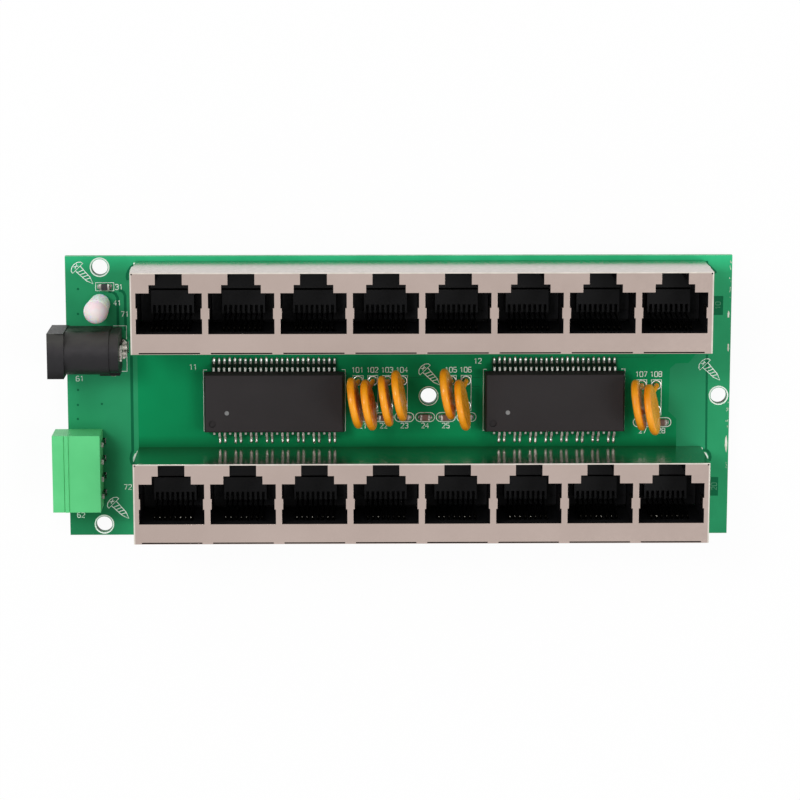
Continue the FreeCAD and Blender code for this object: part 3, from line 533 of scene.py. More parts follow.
def boardZones(tree):  # shares of the lacquer's zones on top, some of them painted shade or light, and of the bare walls
    spot = axesOf(tree, "TexCoord", "Object")
    slope = axesOf(tree, "NewGeometry", "Normal")["Z"]
    x, y = spot["X"], spot["Y"]
    left = calc("LESS_THAN", x, boardLook["marginLeft"] * mm)
    margin = calc("MAXIMUM", left, calc("GREATER_THAN", x, boardLook["marginRight"] * mm))
    upperEdge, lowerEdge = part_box("poe_jack_shield")[1].y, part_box("lan_jack_shield")[1].y
    # painted light, growing towards the rear edge
    rear = mapped(y, upperEdge - boardLook["rearLightReach"] * mm, boardHigh.y)
    # painted shade along the lower row's wall, full at the wall and gone at the reach
    foot = mapped(awayFrom(y, lowerEdge), boardLook["footShadeReach"] * mm, 0.0)
    foot = calc("MULTIPLY", foot, calc("SUBTRACT", 1.0, margin))
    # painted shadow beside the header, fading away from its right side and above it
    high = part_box("terminal_header_housing")[1]
    headerShadow = calc("MULTIPLY", mapped(x, high.x + boardLook["headerShadowReach"] * mm, high.x),
               mapped(y, *(high.y + past * mm for past in boardLook["headerShadowFade"])))
    # painted shade under and between the upper leads of each transformer
    leads = 0.0
    for number in (1, 2):
        low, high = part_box("magnetics_%d_leads" % number)
        half = (high.x - low.x) / 2
        across = mapped(awayFrom(x, (low.x + high.x) / 2), half + boardLook["leadShadeReach"] * mm, half)
        up = calc("MULTIPLY", mapped(y, *(high.y + past * mm for past in boardLook["leadShadeFade"])),
                  calc("GREATER_THAN", y, (low.y + high.y) / 2))
        leads = calc("ADD", calc("MULTIPLY", across, up), leads)
    centre, half = (boardLow + boardHigh) / 2, (boardHigh - boardLow) / 2
    near = [calc("GREATER_THAN", awayFrom(value, centre[axis]), half[axis] - boardLook["rimReach"] * mm)
            for axis, value in enumerate((x, y))]
    walls = calc("LESS_THAN", calc("ABSOLUTE", slope), topSlope)
    top = calc("GREATER_THAN", slope, topSlope)
    zones = {"margin": margin, "rear": rear, "foot": foot, "headerShadow": headerShadow, "leads": leads}
    shares = [(zone, calc("MULTIPLY", share, top)) for zone, share in zones.items()]
    return shares + [("bore", walls), ("rim", calc("MULTIPLY", calc("MAXIMUM", *near), walls))]


def makeBoardFinish():
    material = finishOf("boardLacquer", boardLook["finish"])
    for zone, share in boardZones(material.node_tree):
        overlay(material, share, boardLook[zone], boardLook["zoneDrift"])
    return material


nodes["circuit_board"].data.materials.clear()
nodes["circuit_board"].data.materials.append(makeBoardFinish())
print("board lacquered")

# copper under the lacquer: gaps in the ground area, tracks, a lighter area at the right, tented holes

copperLook = {
    "gapWidth": 0.58,
    "edgeWidth": 0.1,
    "trackWidth": 0.55,
    "height": 0.008,
    "gaps": (
        ((-51.95, 8.3), (-52.0, -11.1), (-52.25, -11.8), (-52.4, -12.6), (-52.25, -13.4), (-51.9, -14.0)),
        ((62.85, 8.3), (63.08, -11.1), (63.45, -11.4), (63.85, -11.9), (64.0, -12.7), (63.8, -13.4)),
        ((-51.1, 26.55), (-51.75, 26.05), (-52.18, 25.45), (-52.45, 24.8), (-52.54, 24.2), (-52.4, 23.5)),
        ((62.45, 27.15), (62.55, 26.6), (62.9, 26.15), (63.45, 25.7), (64.1, 25.1), (64.35, 24.7)),
    ),
    "edges": (
        ((2.8, 3.75), (17.5, 3.75)),
        ((5.6, 2.05), (17.5, 1.95)),
        ((39.5, 7.8), (52.1, 7.8), (52.8, 8.5)),
    ),
    "tracks": (
        ((-56.3, 21.25), (-55.5, 21.15), (-54.9, 20.75), (-54.5, 20.0), (-54.5, 13.0)),
        ((-54.2, 21.45), (-53.7, 21.4), (-53.25, 21.05), (-53.0, 20.4), (-53.0, 13.4)),
    ),
    "area": ((60.7, 8.45), (59.3, 6.6), (56.7, 6.5), (55.55, 5.45), (55.4, -3.25), (57.0, -4.75), (57.1, -11.0),
             (62.9, -11.0), (62.7, 8.45)),
    "holes": ((-62.3, 21.75), (-62.4, 16.75), (-62.7, 1.4), (-62.8, -1.65), (-62.85, -4.5), (-58.0, -1.45)),
    "holeSize": 0.5,
    "holeSides": 12,
    "holeTop": 0.5,  # share of the size at its top
    "boxes": ((64.475, 18.2, 2.95, 3.85), (64.65, -18.65, 2.1, 3.85)),  # dark labels at the ends of the rows
    "gapFinish": {"tones": ((16, 110, 72), (12, 101, 64)), "rough": (0.3, 0.46), "Specular IOR Level": 0.07},
    "areaFinish": {"tones": ((43, 149, 102), (38, 140, 94)), "drift": 45.0, "rough": (0.3, 0.46),
                   "Specular IOR Level": 0.07},
}


def makeCopper():
    height = copperLook["height"]
    lines = [flatLines(copperLook[kind + "s"], copperLook[kind + "Width"], height)
             for kind in ("gap", "edge", "track")]
    hole = rod(copperLook["holeSize"], height * 2, copperLook["holeSides"])
    pulledUp(hole, [(height, copperLook["holeTop"])])
    lines.append(repeated(hole, [(x * mm, y * mm, deck) for x, y in copperLook["holes"]]))
    lines += [flatSheet(boxAt(*box)[:-1], height) for box in copperLook["boxes"]]
    complete(joined(lines), "copperLines", "board", finishOf("gapLacquer", copperLook["gapFinish"]))
    area = flatSheet(copperLook["area"], height / 2)
    complete(area, "copperArea", "board", finishOf("areaLacquer", copperLook["areaFinish"]))


makeCopper()
print("copper drawn")

# torn lacquer along the right edge: three pale tears and loose specks

tearLook = {
    "height": 0.012,
    "tears": ((0.55, 16.4, 0.55, 1.7), (0.45, 9.8, 0.45, 1.9), (0.45, -9.8, 0.6, 3.7)),  # inset, place, width, length
    "specks": ((0.3, 23.5, 7.6, 14), (0.4, -3.9, 5.6, 10), (0.35, -14.2, 1.8, 6)),  # inset, place, length, count
    "corners": (13, 6),  # of a tear, of a speck
    "ragged": ((0.5, 1.1), (0.7, 1.05)),  # limits across and along
    "speckInset": (0.5, 1.5),
    "speckSize": ((0.1, 0.22), (0.12, 0.5)),
    "finish": {"tones": ((238, 240, 228), (196, 202, 182)), "drift": 900.0, "rough": (0.5, 0.7)},
}


def raggedOutline(inset, y, width, length, corners):
    x = boardHigh.x / mm - inset
    acrossLimits, alongLimits = tearLook["ragged"]
    spots = []
    for step in range(corners):
        angle = math.tau * step / corners
        across, along = width / 2 * dice.uniform(*acrossLimits), length / 2 * dice.uniform(*alongLimits)
        spots.append((x + across * math.cos(angle), y + along * math.sin(angle)))
    return spots


def makeTears():
    tearCorners, speckCorners = tearLook["corners"]
    widths, lengths = tearLook["speckSize"]
    outlines = [raggedOutline(*tear, tearCorners) for tear in tearLook["tears"]]
    for inset, y, length, count in tearLook["specks"]:
        for speck in range(count):
            spot = y + dice.uniform(-0.5, 0.5) * length
            outlines.append(raggedOutline(inset * dice.uniform(*tearLook["speckInset"]), spot, dice.uniform(*widths),
                                          dice.uniform(*lengths), speckCorners))
    sheets = [flatSheet(outline, tearLook["height"]) for outline in outlines]
    complete(joined(sheets), "edgeTears", "board", finishOf("bareLaminate", tearLook["finish"]))


makeTears()
print("edge torn")

# jacks: folded shields, black mouldings, contact carriers with combs, spring contacts

rowNames = ("poe", "lan")
ports = range(1, 9)
shieldLook = {
    "edge": 0.03,
    "foldLip": 0.1,
    "foldSlot": 0.25,
    "foldBridge": 2.1,
    "foldDepth": 2.5,
    "reliefInset": 0.33,  # round holes where the folds meet
    "reliefSize": 0.34,
    "reliefDepth": 2.0,
    "reliefSides": 10,
    "bend": (0.338, 0.182),  # painted highlight along the folded edges, standing for the bends catching the light: where it starts and is full, mm in
    "bendTones": ((228, 221, 211), (212, 205, 195)),
    "bendHighlightDrift": 400.0,
    "finish": {"tones": ((187, 170, 162), (180, 163, 155)), "rough": (0.15, 0.22), "grain": (1200.0, 0.003, 0.15),
               "Metallic": 1.0},
}
jackLook = {
    "edge": 0.06,
    "finish": {"tones": ((24, 24, 26), (19, 19, 21)), "rough": (0.4, 0.52), "grain": (5000.0, 0.01, 0.5),
               "Specular IOR Level": 0.2},
}
carrierLook = {
    "slotWidth": 0.52,
    "slotBack": 1.6,  # how far the comb's slots run back from the front edge
    "slotFloor": 2.05,  # mm over the board
    "combWidth": 8.5,
    "trimWidth": 13.2,  # beside the comb, out to here, the raised floor drops
    "sealWidth": 12.6,  # floor between the contacts
    "sealReach": (-0.6, 0.05),  # from the carrier's front
    "sealHeight": (0.02, 0.8),
    "edge": 0.04,
    "finish": {"tones": ((27, 27, 29), (22, 22, 24)), "rough": (0.45, 0.58), "grain": (5000.0, 0.01, 0.5),
               "Specular IOR Level": 0.2},
}
contactLook = {
    "count": 8,
    "gauge": 0.4,
    "bendRadius": 0.42,
    "bendSteps": 5,
    "tipHeight": 3.3,
    # painted shade: the springs are kept near black, like the dark inside of the wells
    "finish": {"tones": ((40, 36, 30), (30, 27, 22)), "rough": (0.3, 0.45), "Metallic": 1.0},
    "shadedMetal": (12, 11, 9),
    "glint": {"poe": (12, 11, 9), "lan": (240, 236, 222)},  # painted glint on the top of the bend; none on the poe row
    "glintDepth": 0.03,  # how far below the top of the bend it reaches
    "glintFade": 0.02,
    "glintStir": 0.01,
}


def shieldSteelWithHighlight(row, low, high):  # steel, with a painted highlight where the front bends into the ends and the upper wall
    material = finishOf(row + "ShieldSteelHighlight", shieldLook["finish"])
    tree = material.node_tree
    spot = axesOf(tree, "TexCoord", "Object")
    half = (high.x - low.x) / 2
    bend = [inward * mm for inward in shieldLook["bend"]]
    ends = mapped(awayFrom(spot["X"], (low.x + high.x) / 2), *(half - inward for inward in bend))
    upper = mapped(spot["Y"], *(high.y - inward for inward in bend))
    front = calc("GREATER_THAN", axesOf(tree, "NewGeometry", "Normal")["Z"], topSlope)
    share = calc("MULTIPLY", calc("MAXIMUM", ends, upper), front)
    overlay(material, share, shieldLook["bendTones"], shieldLook["bendHighlightDrift"])
    return material


def makeShields():
    for row in rowNames:
        node = row + "_jack_shield"
        low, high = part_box(node)
        shield = copyOfNode(node)
        cutAway(shield, joined(foldCutters(row, low, high)))
        softenEdges(shield, shieldLook["edge"])
        complete(shield, row + "JackShield", "shield", shieldSteelWithHighlight(row, low, high), node)


def foldCutters(row, low, high):  # opens the slots along the lower fold and drills the corners
    sizes = ("foldBridge", "foldLip", "foldSlot", "foldDepth", "reliefInset")
    bridge, lip, slot, depth, inset = (shieldLook[size] * mm for size in sizes)
    places = [sum(contactRow(row, port)) / contactLook["count"] for port in ports]
    half = (places[1] - places[0] - bridge) / 2
    outer = low.y + lip
    cutters = [block((x - half, outer, high.z - depth), (x + half, outer + slot, high.z + mm)) for x in places]
    for x in (low.x + inset, high.x - inset):
        cutters.append(rod(shieldLook["reliefSize"], shieldLook["reliefDepth"], shieldLook["reliefSides"],
                           (x, high.y - inset, high.z)))
    return cutters


def makeJackMouldings():
    finish = finishOf("jackPlastic", jackLook["finish"])
    for row in rowNames:
        dressNode(row + "_jack_housing", row + "JackMoulding", "jack_moulding", finish, jackLook["edge"], segments=1)


def contactRow(row, port):  # places along X of one port's contacts
    low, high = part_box("%s_port_%d_contacts" % (row, port))
    half = contactLook["gauge"] * mm / 2
    first, last = low.x + half, high.x - half
    pitch = (last - first) / (contactLook["count"] - 1)
    return [first + pitch * step for step in range(contactLook["count"])]


def makeCarriers():
    finish = finishOf("carrierPlastic", carrierLook["finish"])
    half = carrierLook["slotWidth"] * mm / 2
    floor = deck + carrierLook["slotFloor"] * mm
    for row in rowNames:
        node = row + "_contact_carriers"
        low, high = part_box(node)
        carriers = copyOfNode(node)
        front = min(corner.co.y for corner in carriers.data.vertices if corner.co.z > high.z - sameLevel * mm)
        back = front + carrierLook["slotBack"] * mm
        slots = [block((x - half, front - mm, floor), (x + half, back, high.z + mm))
                 for port in ports for x in contactRow(row, port)]
        cutAway(carriers, joined(slots))
        carriers = joined([carriers] + trimmedFloor(row, carriers, low, high, floor))
        softenEdges(carriers, carrierLook["edge"], segments=1)
        complete(carriers, row + "ContactCarriers", "contact_carrier", finish, node)


def trimmedFloor(row, carriers, low, high, floor):  # lowers the floor beside each comb, returns the floor strips
    comb, trim, seal = (carrierLook[part] * mm / 2 for part in ("combWidth", "trimWidth", "sealWidth"))
    front, back = (low.y + reach * mm for reach in carrierLook["sealReach"])
    under, over = (deck + level * mm for level in carrierLook["sealHeight"])
    sides, strips = [], []
    for port in ports:
        places = contactRow(row, port)
        centre = (places[0] + places[-1]) / 2
        for left, right in ((centre - trim, centre - comb), (centre + comb, centre + trim)):
            sides.append(block((left, low.y - mm, floor), (right, high.y + mm, high.z + mm)))
        strips.append(block((centre - seal, front, under), (centre + seal, back, over)))
    cutAway(carriers, joined(sides))
    return strips


def contactPath(low, high):  # tail, straight rise, round bend, fall to the tip: Y and Z only
    half = contactLook["gauge"] * mm / 2
    back, tip = low.y + half, high.y - half
    radius = contactLook["bendRadius"] * mm
    tipHeight = deck + contactLook["tipHeight"] * mm
    centre = Vector((back + radius, high.z - half - radius))
    reach = Vector((tip, tipHeight)) - centre
    lean = math.atan2(reach.y, reach.x) + math.acos(radius / reach.length)  # where the fall leaves the bend
    points = [(back, low.z), (back, deck), (back, centre.y)]
    for step in range(1, contactLook["bendSteps"] + 1):
        angle = math.pi + (lean - math.pi) * step / contactLook["bendSteps"]
        points.append((centre.x + radius * math.cos(angle), centre.y + radius * math.sin(angle)))
    points.append((tip, tipHeight))
    return points


def shadedContactFinish(row):  # spring metal painted dark as shade, with a painted glint on the top of the bend
    material = finishOf(row + "ContactShadeAndGlint", contactLook["finish"])
    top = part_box(row + "_port_1_contacts")[1].z / mm
    edge = top - contactLook["glintDepth"]
    shadedMetal, glint = contactLook["shadedMetal"], contactLook["glint"][row]
    stops = ((edge - contactLook["glintFade"], shadedMetal), (edge, glint), (top, glint))
    toneAlong(material, (0, 0, 1), stops, contactLook["glintStir"])
    return material


def makeContacts():
    for row in rowNames:
        finish = shadedContactFinish(row)
        for port in ports:
            node = "%s_port_%d_contacts" % (row, port)
            path = contactPath(*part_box(node))
            spring = wires([[(0, y, z) for y, z in path]], contactLook["gauge"] * mm / 2)
            springs = repeated(spring, [(x, 0, 0) for x in contactRow(row, port)])
            complete(springs, "%sPort%dContacts" % (row, port), "contact", finish, node, smooth=60)


makeShields()
makeJackMouldings()
makeCarriers()
makeContacts()
print("jacks modelled")

# signal transformers: moulded blocks with a pin mark and an ejector ring, gull-wing leads with solder at the toes

magneticsLook = {
    "edge": 0.18,
    "pinMark": (4.65, 4.25, 0.9, 0.12),  # mm in from the left and lower side, across, deep
    "ejector": (1.75, 2.05, 1.45, 0.4),
    "markSides": 24,
    "paint": (0.08, 0.1, 0.15, 0.03),  # thick, middle under the top, inset and dip of its face
    "leadCount": 24,
    "leadWidth": 0.45,
    "leadEdge": 0.05,
    "solderSize": (0.62, 1.35, 0.34),  # drop over each foot
    "solderPast": -0.3,  # its middle past the toe
    "solderVary": ((0.85, 1.1), (0.75, 1.15), (0.8, 1.2)),
    "dotFinish": {"tones": ((142, 144, 144), (120, 122, 122)), "rough": (0.5, 0.65)},
    "finish": {"tones": ((43, 40, 41), (38, 35, 36)), "drift": 70.0, "rough": (0.5, 0.62),
               "grain": (6000.0, 0.02, 0.5), "Specular IOR Level": 0.2},
    "leadFinish": {"tones": ((204, 207, 200), (166, 169, 162)), "drift": 700.0, "rough": (0.2, 0.34), "Metallic": 0.5},
    "riserReflection": ((46, 54, 46), (34, 42, 34)),  # painted reflection: lead faces that look towards +Y are darker, as if mirroring the dark moulding
    "riserReflectionSlope": (0.15, 0.45),
}
solderLook = {"tones": ((228, 229, 224), (196, 197, 192)), "drift": 900.0, "rough": (0.2, 0.4),
              "grain": (1800.0, 0.03, 0.5), "Metallic": 1.0}
leadFinish = finishOf("tinnedLead", magneticsLook["leadFinish"])
solderFinish = finishOf("solder", solderLook)


def gullLeadWithReflection():
    # lead metal with a painted reflection, darker on faces that look towards +Y
    material = finishOf("gullLead", magneticsLook["leadFinish"])
    tree = material.node_tree
    share = mapped(axesOf(tree, "NewGeometry", "Normal")["Y"], *magneticsLook["riserReflectionSlope"])
    overlay(material, share, magneticsLook["riserReflection"], magneticsLook["leadFinish"]["drift"])
    return material


def makeMagnetics():
    finish = finishOf("chipMoulding", magneticsLook["finish"])
    paint = finishOf("markPaint", magneticsLook["dotFinish"])
    leadMetal = gullLeadWithReflection()
    for number in (1, 2):
        node = "magnetics_%d_body" % number
        low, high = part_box(node)
        body = copyOfNode(node)
        softenEdges(body, magneticsLook["edge"], segments=3, angle=20)
        for inX, inY, across, depth in (magneticsLook["pinMark"], magneticsLook["ejector"]):
            cutAway(body, rod(across, depth * 2, magneticsLook["markSides"],
                              (low.x + inX * mm, low.y + inY * mm, high.z)))
        paintMark(low, high, number, paint)
        complete(body, "magnetics%dBody" % number, "chip_moulding", finish, node, smooth=30)
        dressNode("magnetics_%d_leads" % number, "magnetics%dLeads" % number, "tinned_lead", leadMetal,
                  magneticsLook["leadEdge"], segments=1)


def paintMark(low, high, number, paint):  # paint in the round mark of the first lead
    inX, inY, across = magneticsLook["pinMark"][:3]
    thick, drop, inset, dip = magneticsLook["paint"]
    dot = rod(across, thick, magneticsLook["markSides"], (low.x + inX * mm, low.y + inY * mm, high.z - drop * mm))
    settle(dot)
    editFaces(dot, facesUp)
    bpy.ops.mesh.inset(thickness=inset * mm, depth=-dip * mm)
    leaveEdit()
    complete(dot, "magnetics%dMark" % number, "silkscreen", paint)


def makeLeadSolder():  # a drop of solder at each toe, no two alike
    spots = []
    for number in (1, 2):
        low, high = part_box("magnetics_%d_leads" % number)
        half = magneticsLook["leadWidth"] * mm / 2
        pitch = (high.x - low.x - half * 2) / (magneticsLook["leadCount"] - 1)
        past = magneticsLook["solderPast"] * mm
        for step in range(magneticsLook["leadCount"]):
            x = low.x + half + pitch * step
            spots.append((x, high.y + past, deck))
            if step % 3:  # each third lead on the lower side is only a stub
                spots.append((x, low.y - past, deck))
    solder = drops(magneticsLook["solderSize"], spots, magneticsLook["solderVary"])
    complete(solder, "leadSolder", "solder", solderFinish, smooth=60)


makeMagnetics()
makeLeadSolder()
print("transformers modelled")

# resettable fuses: lens-shaped coated discs on round wire leads

fuseLook = {
    "diameter": 10.2,
    "thickness": 1.38,
    "rim": 0.65,  # roundness of the rim, mm
    "rimSteps": 7,
    "sides": 56,
    "leadRadius": 0.28,
    "coatRadius": 0.58,  # coating that runs down each lead to the board
    "coatTaper": (1.0, 0.95, 0.85, 0.75),
    "coatReach": 0.9,  # how far it starts inside the disc
    "ringSize": 1.75,
    "ringGauge": 0.26,
    "ringFlat": 0.5,
    "ringSides": (24, 6),
    "finish": {"tones": ((251, 166, 27), (238, 147, 18)), "drift": 220.0, "rough": (0.22, 0.32),
               "grain": (500.0, 0.02, 0.2), "Specular IOR Level": 0.25, "Coat Weight": 0.18, "Coat Roughness": 0.06},
}


def discAxis(nodeName):  # the normal that most of the node's surface shares, turned towards +X
    areas = {}
    for face in nodes[nodeName].data.polygons:
        key = tuple(round(part, 3) for part in face.normal)
        areas[key] = areas.get(key, 0) + face.area
    axis = Vector(max(areas, key=areas.get))
    return axis if axis.x > 0 else -axis


def fuseWirePaths():  # each lead as three places, low to high
    paths = []
    for corners in looseSolids("fuse_leads"):
        third = len(corners) // 3
        groups = [corners[:third], corners[third:-third], corners[-third:]]
        paths.append([sum(group, Vector()) / len(group) for group in groups])
    return sorted(paths, key=lambda path: (path[0].x, path[0].y))


fusePaths = fuseWirePaths()
fusePairs = list(zip(fusePaths[0::2], fusePaths[1::2]))


def makeFuses():
    finish = finishOf("fuseCoating", fuseLook["finish"])
    leads = wires(fusePaths, fuseLook["leadRadius"] * mm, sides=3)
    complete(leads, "fuseLeads", "tinned_lead", leadFinish, "fuse_leads", smooth=60)
    for number, pair in enumerate(fusePairs, 1):
        node = "fuse_%d" % number
        disc = rod(fuseLook["diameter"], fuseLook["thickness"], fuseLook["sides"])
        softenEdges(disc, fuseLook["rim"], segments=fuseLook["rimSteps"], angle=60)
        disc.rotation_euler = discAxis(node).to_track_quat("Z", "Y").to_euler()
        disc.location = middle(node)
        settle(disc)
        disc = joined([disc] + [coatedFoot(path) for path in pair])
        complete(disc, "fuse%d" % number, "fuse_coating", finish, node, smooth=60)


def coatedFoot(path):  # coating that narrows from the disc down the lead
    along = (path[2] - path[1]).normalized()
    foot = Vector((path[1].x, path[1].y, deck))
    route = [path[2] + along * fuseLook["coatReach"] * mm, path[2], path[1], foot]
    return wires([route], fuseLook["coatRadius"] * mm, sides=2, tapers=fuseLook["coatTaper"])


def makeFuseRings():  # tinned rings round the lead holes
    clearSelection()
    around, through = fuseLook["ringSides"]
    bpy.ops.mesh.primitive_torus_add(major_segments=around, minor_segments=through,
                                     major_radius=fuseLook["ringSize"] * mm / 2,
                                     minor_radius=fuseLook["ringGauge"] * mm / 2)
    ring = bpy.context.object
    flatten(ring, 0, fuseLook["ringFlat"])
    rings = repeated(ring, [(path[0].x, path[0].y, deck) for path in fusePaths])
    complete(rings, "fuseRings", "solder", solderFinish, smooth=60)


makeFuses()
makeFuseRings()
print("fuses modelled")

# chip capacitors, chip resistor

chipLook = {
    "count": 8,
    "edge": 0.07,
    "capacitor": {"tones": ((124, 90, 76), (98, 70, 60)), "drift": 900.0, "rough": (0.4, 0.55)},
    "caps": {"tones": ((196, 194, 186), (128, 126, 118)), "drift": 1500.0, "rough": (0.25, 0.42), "Metallic": 0.5},
    "resistor": {"tones": ((34, 34, 38), (26, 26, 30)), "drift": 900.0, "rough": (0.35, 0.5)},
}


def makeChips():
    ceramic = finishOf("capacitorCeramic", chipLook["capacitor"])
    film = finishOf("resistorFilm", chipLook["resistor"])
    metal = finishOf("chipCap", chipLook["caps"])
    edge = chipLook["edge"]
    for number in range(1, chipLook["count"] + 1):
        dressNode("capacitor_%d" % number, "capacitor%d" % number, "capacitor_ceramic", ceramic, edge)
    dressNode("resistor_body", "resistorBody", "resistor_ceramic", film, edge)
    for kind in ("capacitor", "resistor"):
        dressNode(kind + "_end_caps", kind + "EndCaps", "solder", metal, edge)


makeChips()
print("chips modelled")

# indicator lamp: barrel and dome pulled up from one round, leaning two ways over its leads

ledLook = {
    "diameter": 4.8,
    "height": 8.6,
    "lean": 5.8,
    "tilt": 2.8,
    "domeSteps": 10,
    "sides": 48,
    "standoff": 0.8,
    "leadRadius": 0.25,
    "footShare": 0.84,  # the barrel narrows towards the board
    "domeEnd": 0.97,  # share of the quarter turn, short of a point
    "edge": 0.15,
    "barrelTone": (244, 250, 250),
    "ringHighlightTones": (  # mm past the shoulder, with a painted highlight ring where the dome starts
        (-0.3, (244, 250, 250)), (-0.1, (252, 254, 252)), (0.3, (252, 254, 252)), (0.7, (226, 215, 219)),
    ),
    "tipTone": (236, 228, 230),
    "stir": 0.3,
    "finish": {"tones": ((244, 240, 243), (234, 230, 235)), "drift": 200.0, "rough": (0.22, 0.34),
               "grain": (2500.0, 0.01, 0.5), "Subsurface Weight": 0.7, "Subsurface Scale": 0.003,
               "Specular IOR Level": 0.2},
}


def makeLamp():
    low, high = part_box("led_leads")
    foot = Vector(((low.x + high.x) / 2, (low.y + high.y) / 2, deck + ledLook["standoff"] * mm))
    radius = ledLook["diameter"] / 2
    shoulder = ledLook["height"] - radius
    lamp = rod(ledLook["diameter"], shoulder, ledLook["sides"], (0, 0, shoulder * mm / 2))
    settle(lamp)
    editFaces(lamp, lambda centre, normal: normal.z < -square)
    bpy.ops.transform.resize(value=(ledLook["footShare"], ledLook["footShare"], 1))
    leaveEdit()
    rings = [math.pi / 2 * step / ledLook["domeSteps"] for step in range(ledLook["domeSteps"])]
    rings.append(math.pi / 2 * ledLook["domeEnd"])
    pulledUp(lamp, [(radius * (math.sin(after) - math.sin(before)), math.cos(after) / math.cos(before))
                    for before, after in zip(rings, rings[1:])])
    softenEdges(lamp, ledLook["edge"], angle=60)
    lamp.rotation_euler = (math.radians(ledLook["lean"]), -math.radians(ledLook["tilt"]), 0)
    axis = lamp.rotation_euler.to_matrix() @ Vector((0, 0, 1))
    lamp.location = foot
    settle(lamp)
    milky = finishOf("milkyLens", ledLook["finish"])
    start = foot.dot(axis) / mm
    ring = start + shoulder
    stops = [(start, ledLook["barrelTone"])] + [(ring + past, tone) for past, tone in ledLook["ringHighlightTones"]]
    toneAlong(milky, axis, stops + [(ring + radius, ledLook["tipTone"])], ledLook["stir"])
    complete(lamp, "ledLens", "led_lens", milky, "led_lens", smooth=50)
    gauge = ledLook["leadRadius"] * mm
    paths = [[(x, foot.y, level) for level in (low.z, deck, high.z)] for x in (low.x + gauge, high.x - gauge)]
    complete(wires(paths, gauge, sides=2), "ledLeads", "tinned_lead", leadFinish, "led_leads", smooth=60)


makeLamp()
print("lamp modelled")

# barrel power jack and terminal header

dcLook = {
    "edge": 0.22,
    "rearBlock": 2.9,
    "seamShift": 1.0,  # how far the step in front of the rear block moves back
    "seamReach": 0.1,  # faces of the step lie this near to it
    "metalEdge": 0.08,
    "stir": 0.6,
    "tones": (  # painted shading along Y: share of the height, colour; dark at the low side, lightest near the high side, dark again at its edge
        (0.0, (10, 11, 10)), (0.08, (16, 16, 16)), (0.23, (34, 33, 35)), (0.5, (41, 40, 42)),
        (0.67, (52, 50, 52)), (0.85, (64, 63, 61)), (0.97, (58, 58, 55)), (1.0, (30, 30, 29)),
    ),
    "finish": {"tones": ((44, 43, 46), (37, 36, 39)), "drift": 120.0, "rough": (0.36, 0.5),
               "grain": (3500.0, 0.02, 0.5), "Specular IOR Level": 0.15},
    "metal": {"tones": ((222, 218, 208), (64, 62, 56)), "drift": 1500.0, "rough": (0.1, 0.3),
              "grain": (1500.0, 0.05, 0.5), "Metallic": 1.0},
}
headerLook = {
    "edge": 0.1,
    "grooves": ((2.29, 0.16, 0.32), (3.2, 0.1, 0.27)),  # beside the rib: mm from the left, wide, deep
    "pinEdge": 0.12,
    "finish": {"tones": ((98, 208, 134), (88, 198, 124)), "drift": 90.0, "rough": (0.36, 0.5),
               "grain": (3500.0, 0.012, 0.5), "Specular IOR Level": 0.3},
    "pins": {"tones": ((170, 168, 160), (80, 78, 72)), "drift": 1200.0, "rough": (0.15, 0.3), "Metallic": 1.0},
}


def makePowerJack():
    housing = copyOfNode("dc_jack_housing")
    low, high = (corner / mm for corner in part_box("dc_jack_housing"))
    step, reach = (high.x - dcLook["rearBlock"]) * mm, dcLook["seamReach"] * mm
    editFaces(housing, lambda centre, normal: abs(normal.x) > square and abs(centre.x - step) < reach)
    bpy.ops.transform.translate(value=(dcLook["seamShift"] * mm, 0, 0))
    leaveEdit()
    softenEdges(housing, dcLook["edge"], segments=3, angle=40)
    plastic = finishOf("powerJackShadedPlastic", dcLook["finish"])
    # painted shading: the housing's colour runs dark to light along Y
    tones = [(low.y + (high.y - low.y) * share, tone) for share, tone in dcLook["tones"]]
    toneAlong(plastic, (0, 1, 0), tones, dcLook["stir"])
    complete(housing, "dcJackHousing", "power_jack_moulding", plastic, "dc_jack_housing", smooth=35)
    metal = finishOf("powerJackMetal", dcLook["metal"])
    for node, name in (("dc_jack_centre_pin", "dcJackCentrePin"), ("dc_jack_sleeve_spring", "dcJackSleeveSpring"),
                       ("dc_jack_switch_terminal", "dcJackSwitchTerminal")):
        dressNode(node, name, "power_jack_metal", metal, dcLook["metalEdge"], angle=40)


def makeHeader():
    housing = copyOfNode("terminal_header_housing")
    low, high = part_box("terminal_header_housing")
    for inX, wide, deep in headerLook["grooves"]:
        left = low.x + inX * mm
        cutAway(housing, block((left, low.y - mm, high.z - deep * mm), (left + wide * mm, high.y + mm, high.z + mm)))
    softenEdges(housing, headerLook["edge"])
    plastic = finishOf("headerPlastic", headerLook["finish"])
    complete(housing, "terminalHeaderHousing", "header_moulding", plastic, "terminal_header_housing")
    metal = finishOf("headerPin", headerLook["pins"])
    dressNode("terminal_header_pins", "terminalHeaderPins", "tinned_lead", metal, headerLook["pinEdge"])


makePowerJack()
makeHeader()
print("power inlets modelled")

# printed marks: outlines, rings, screw signs and plain place numbers

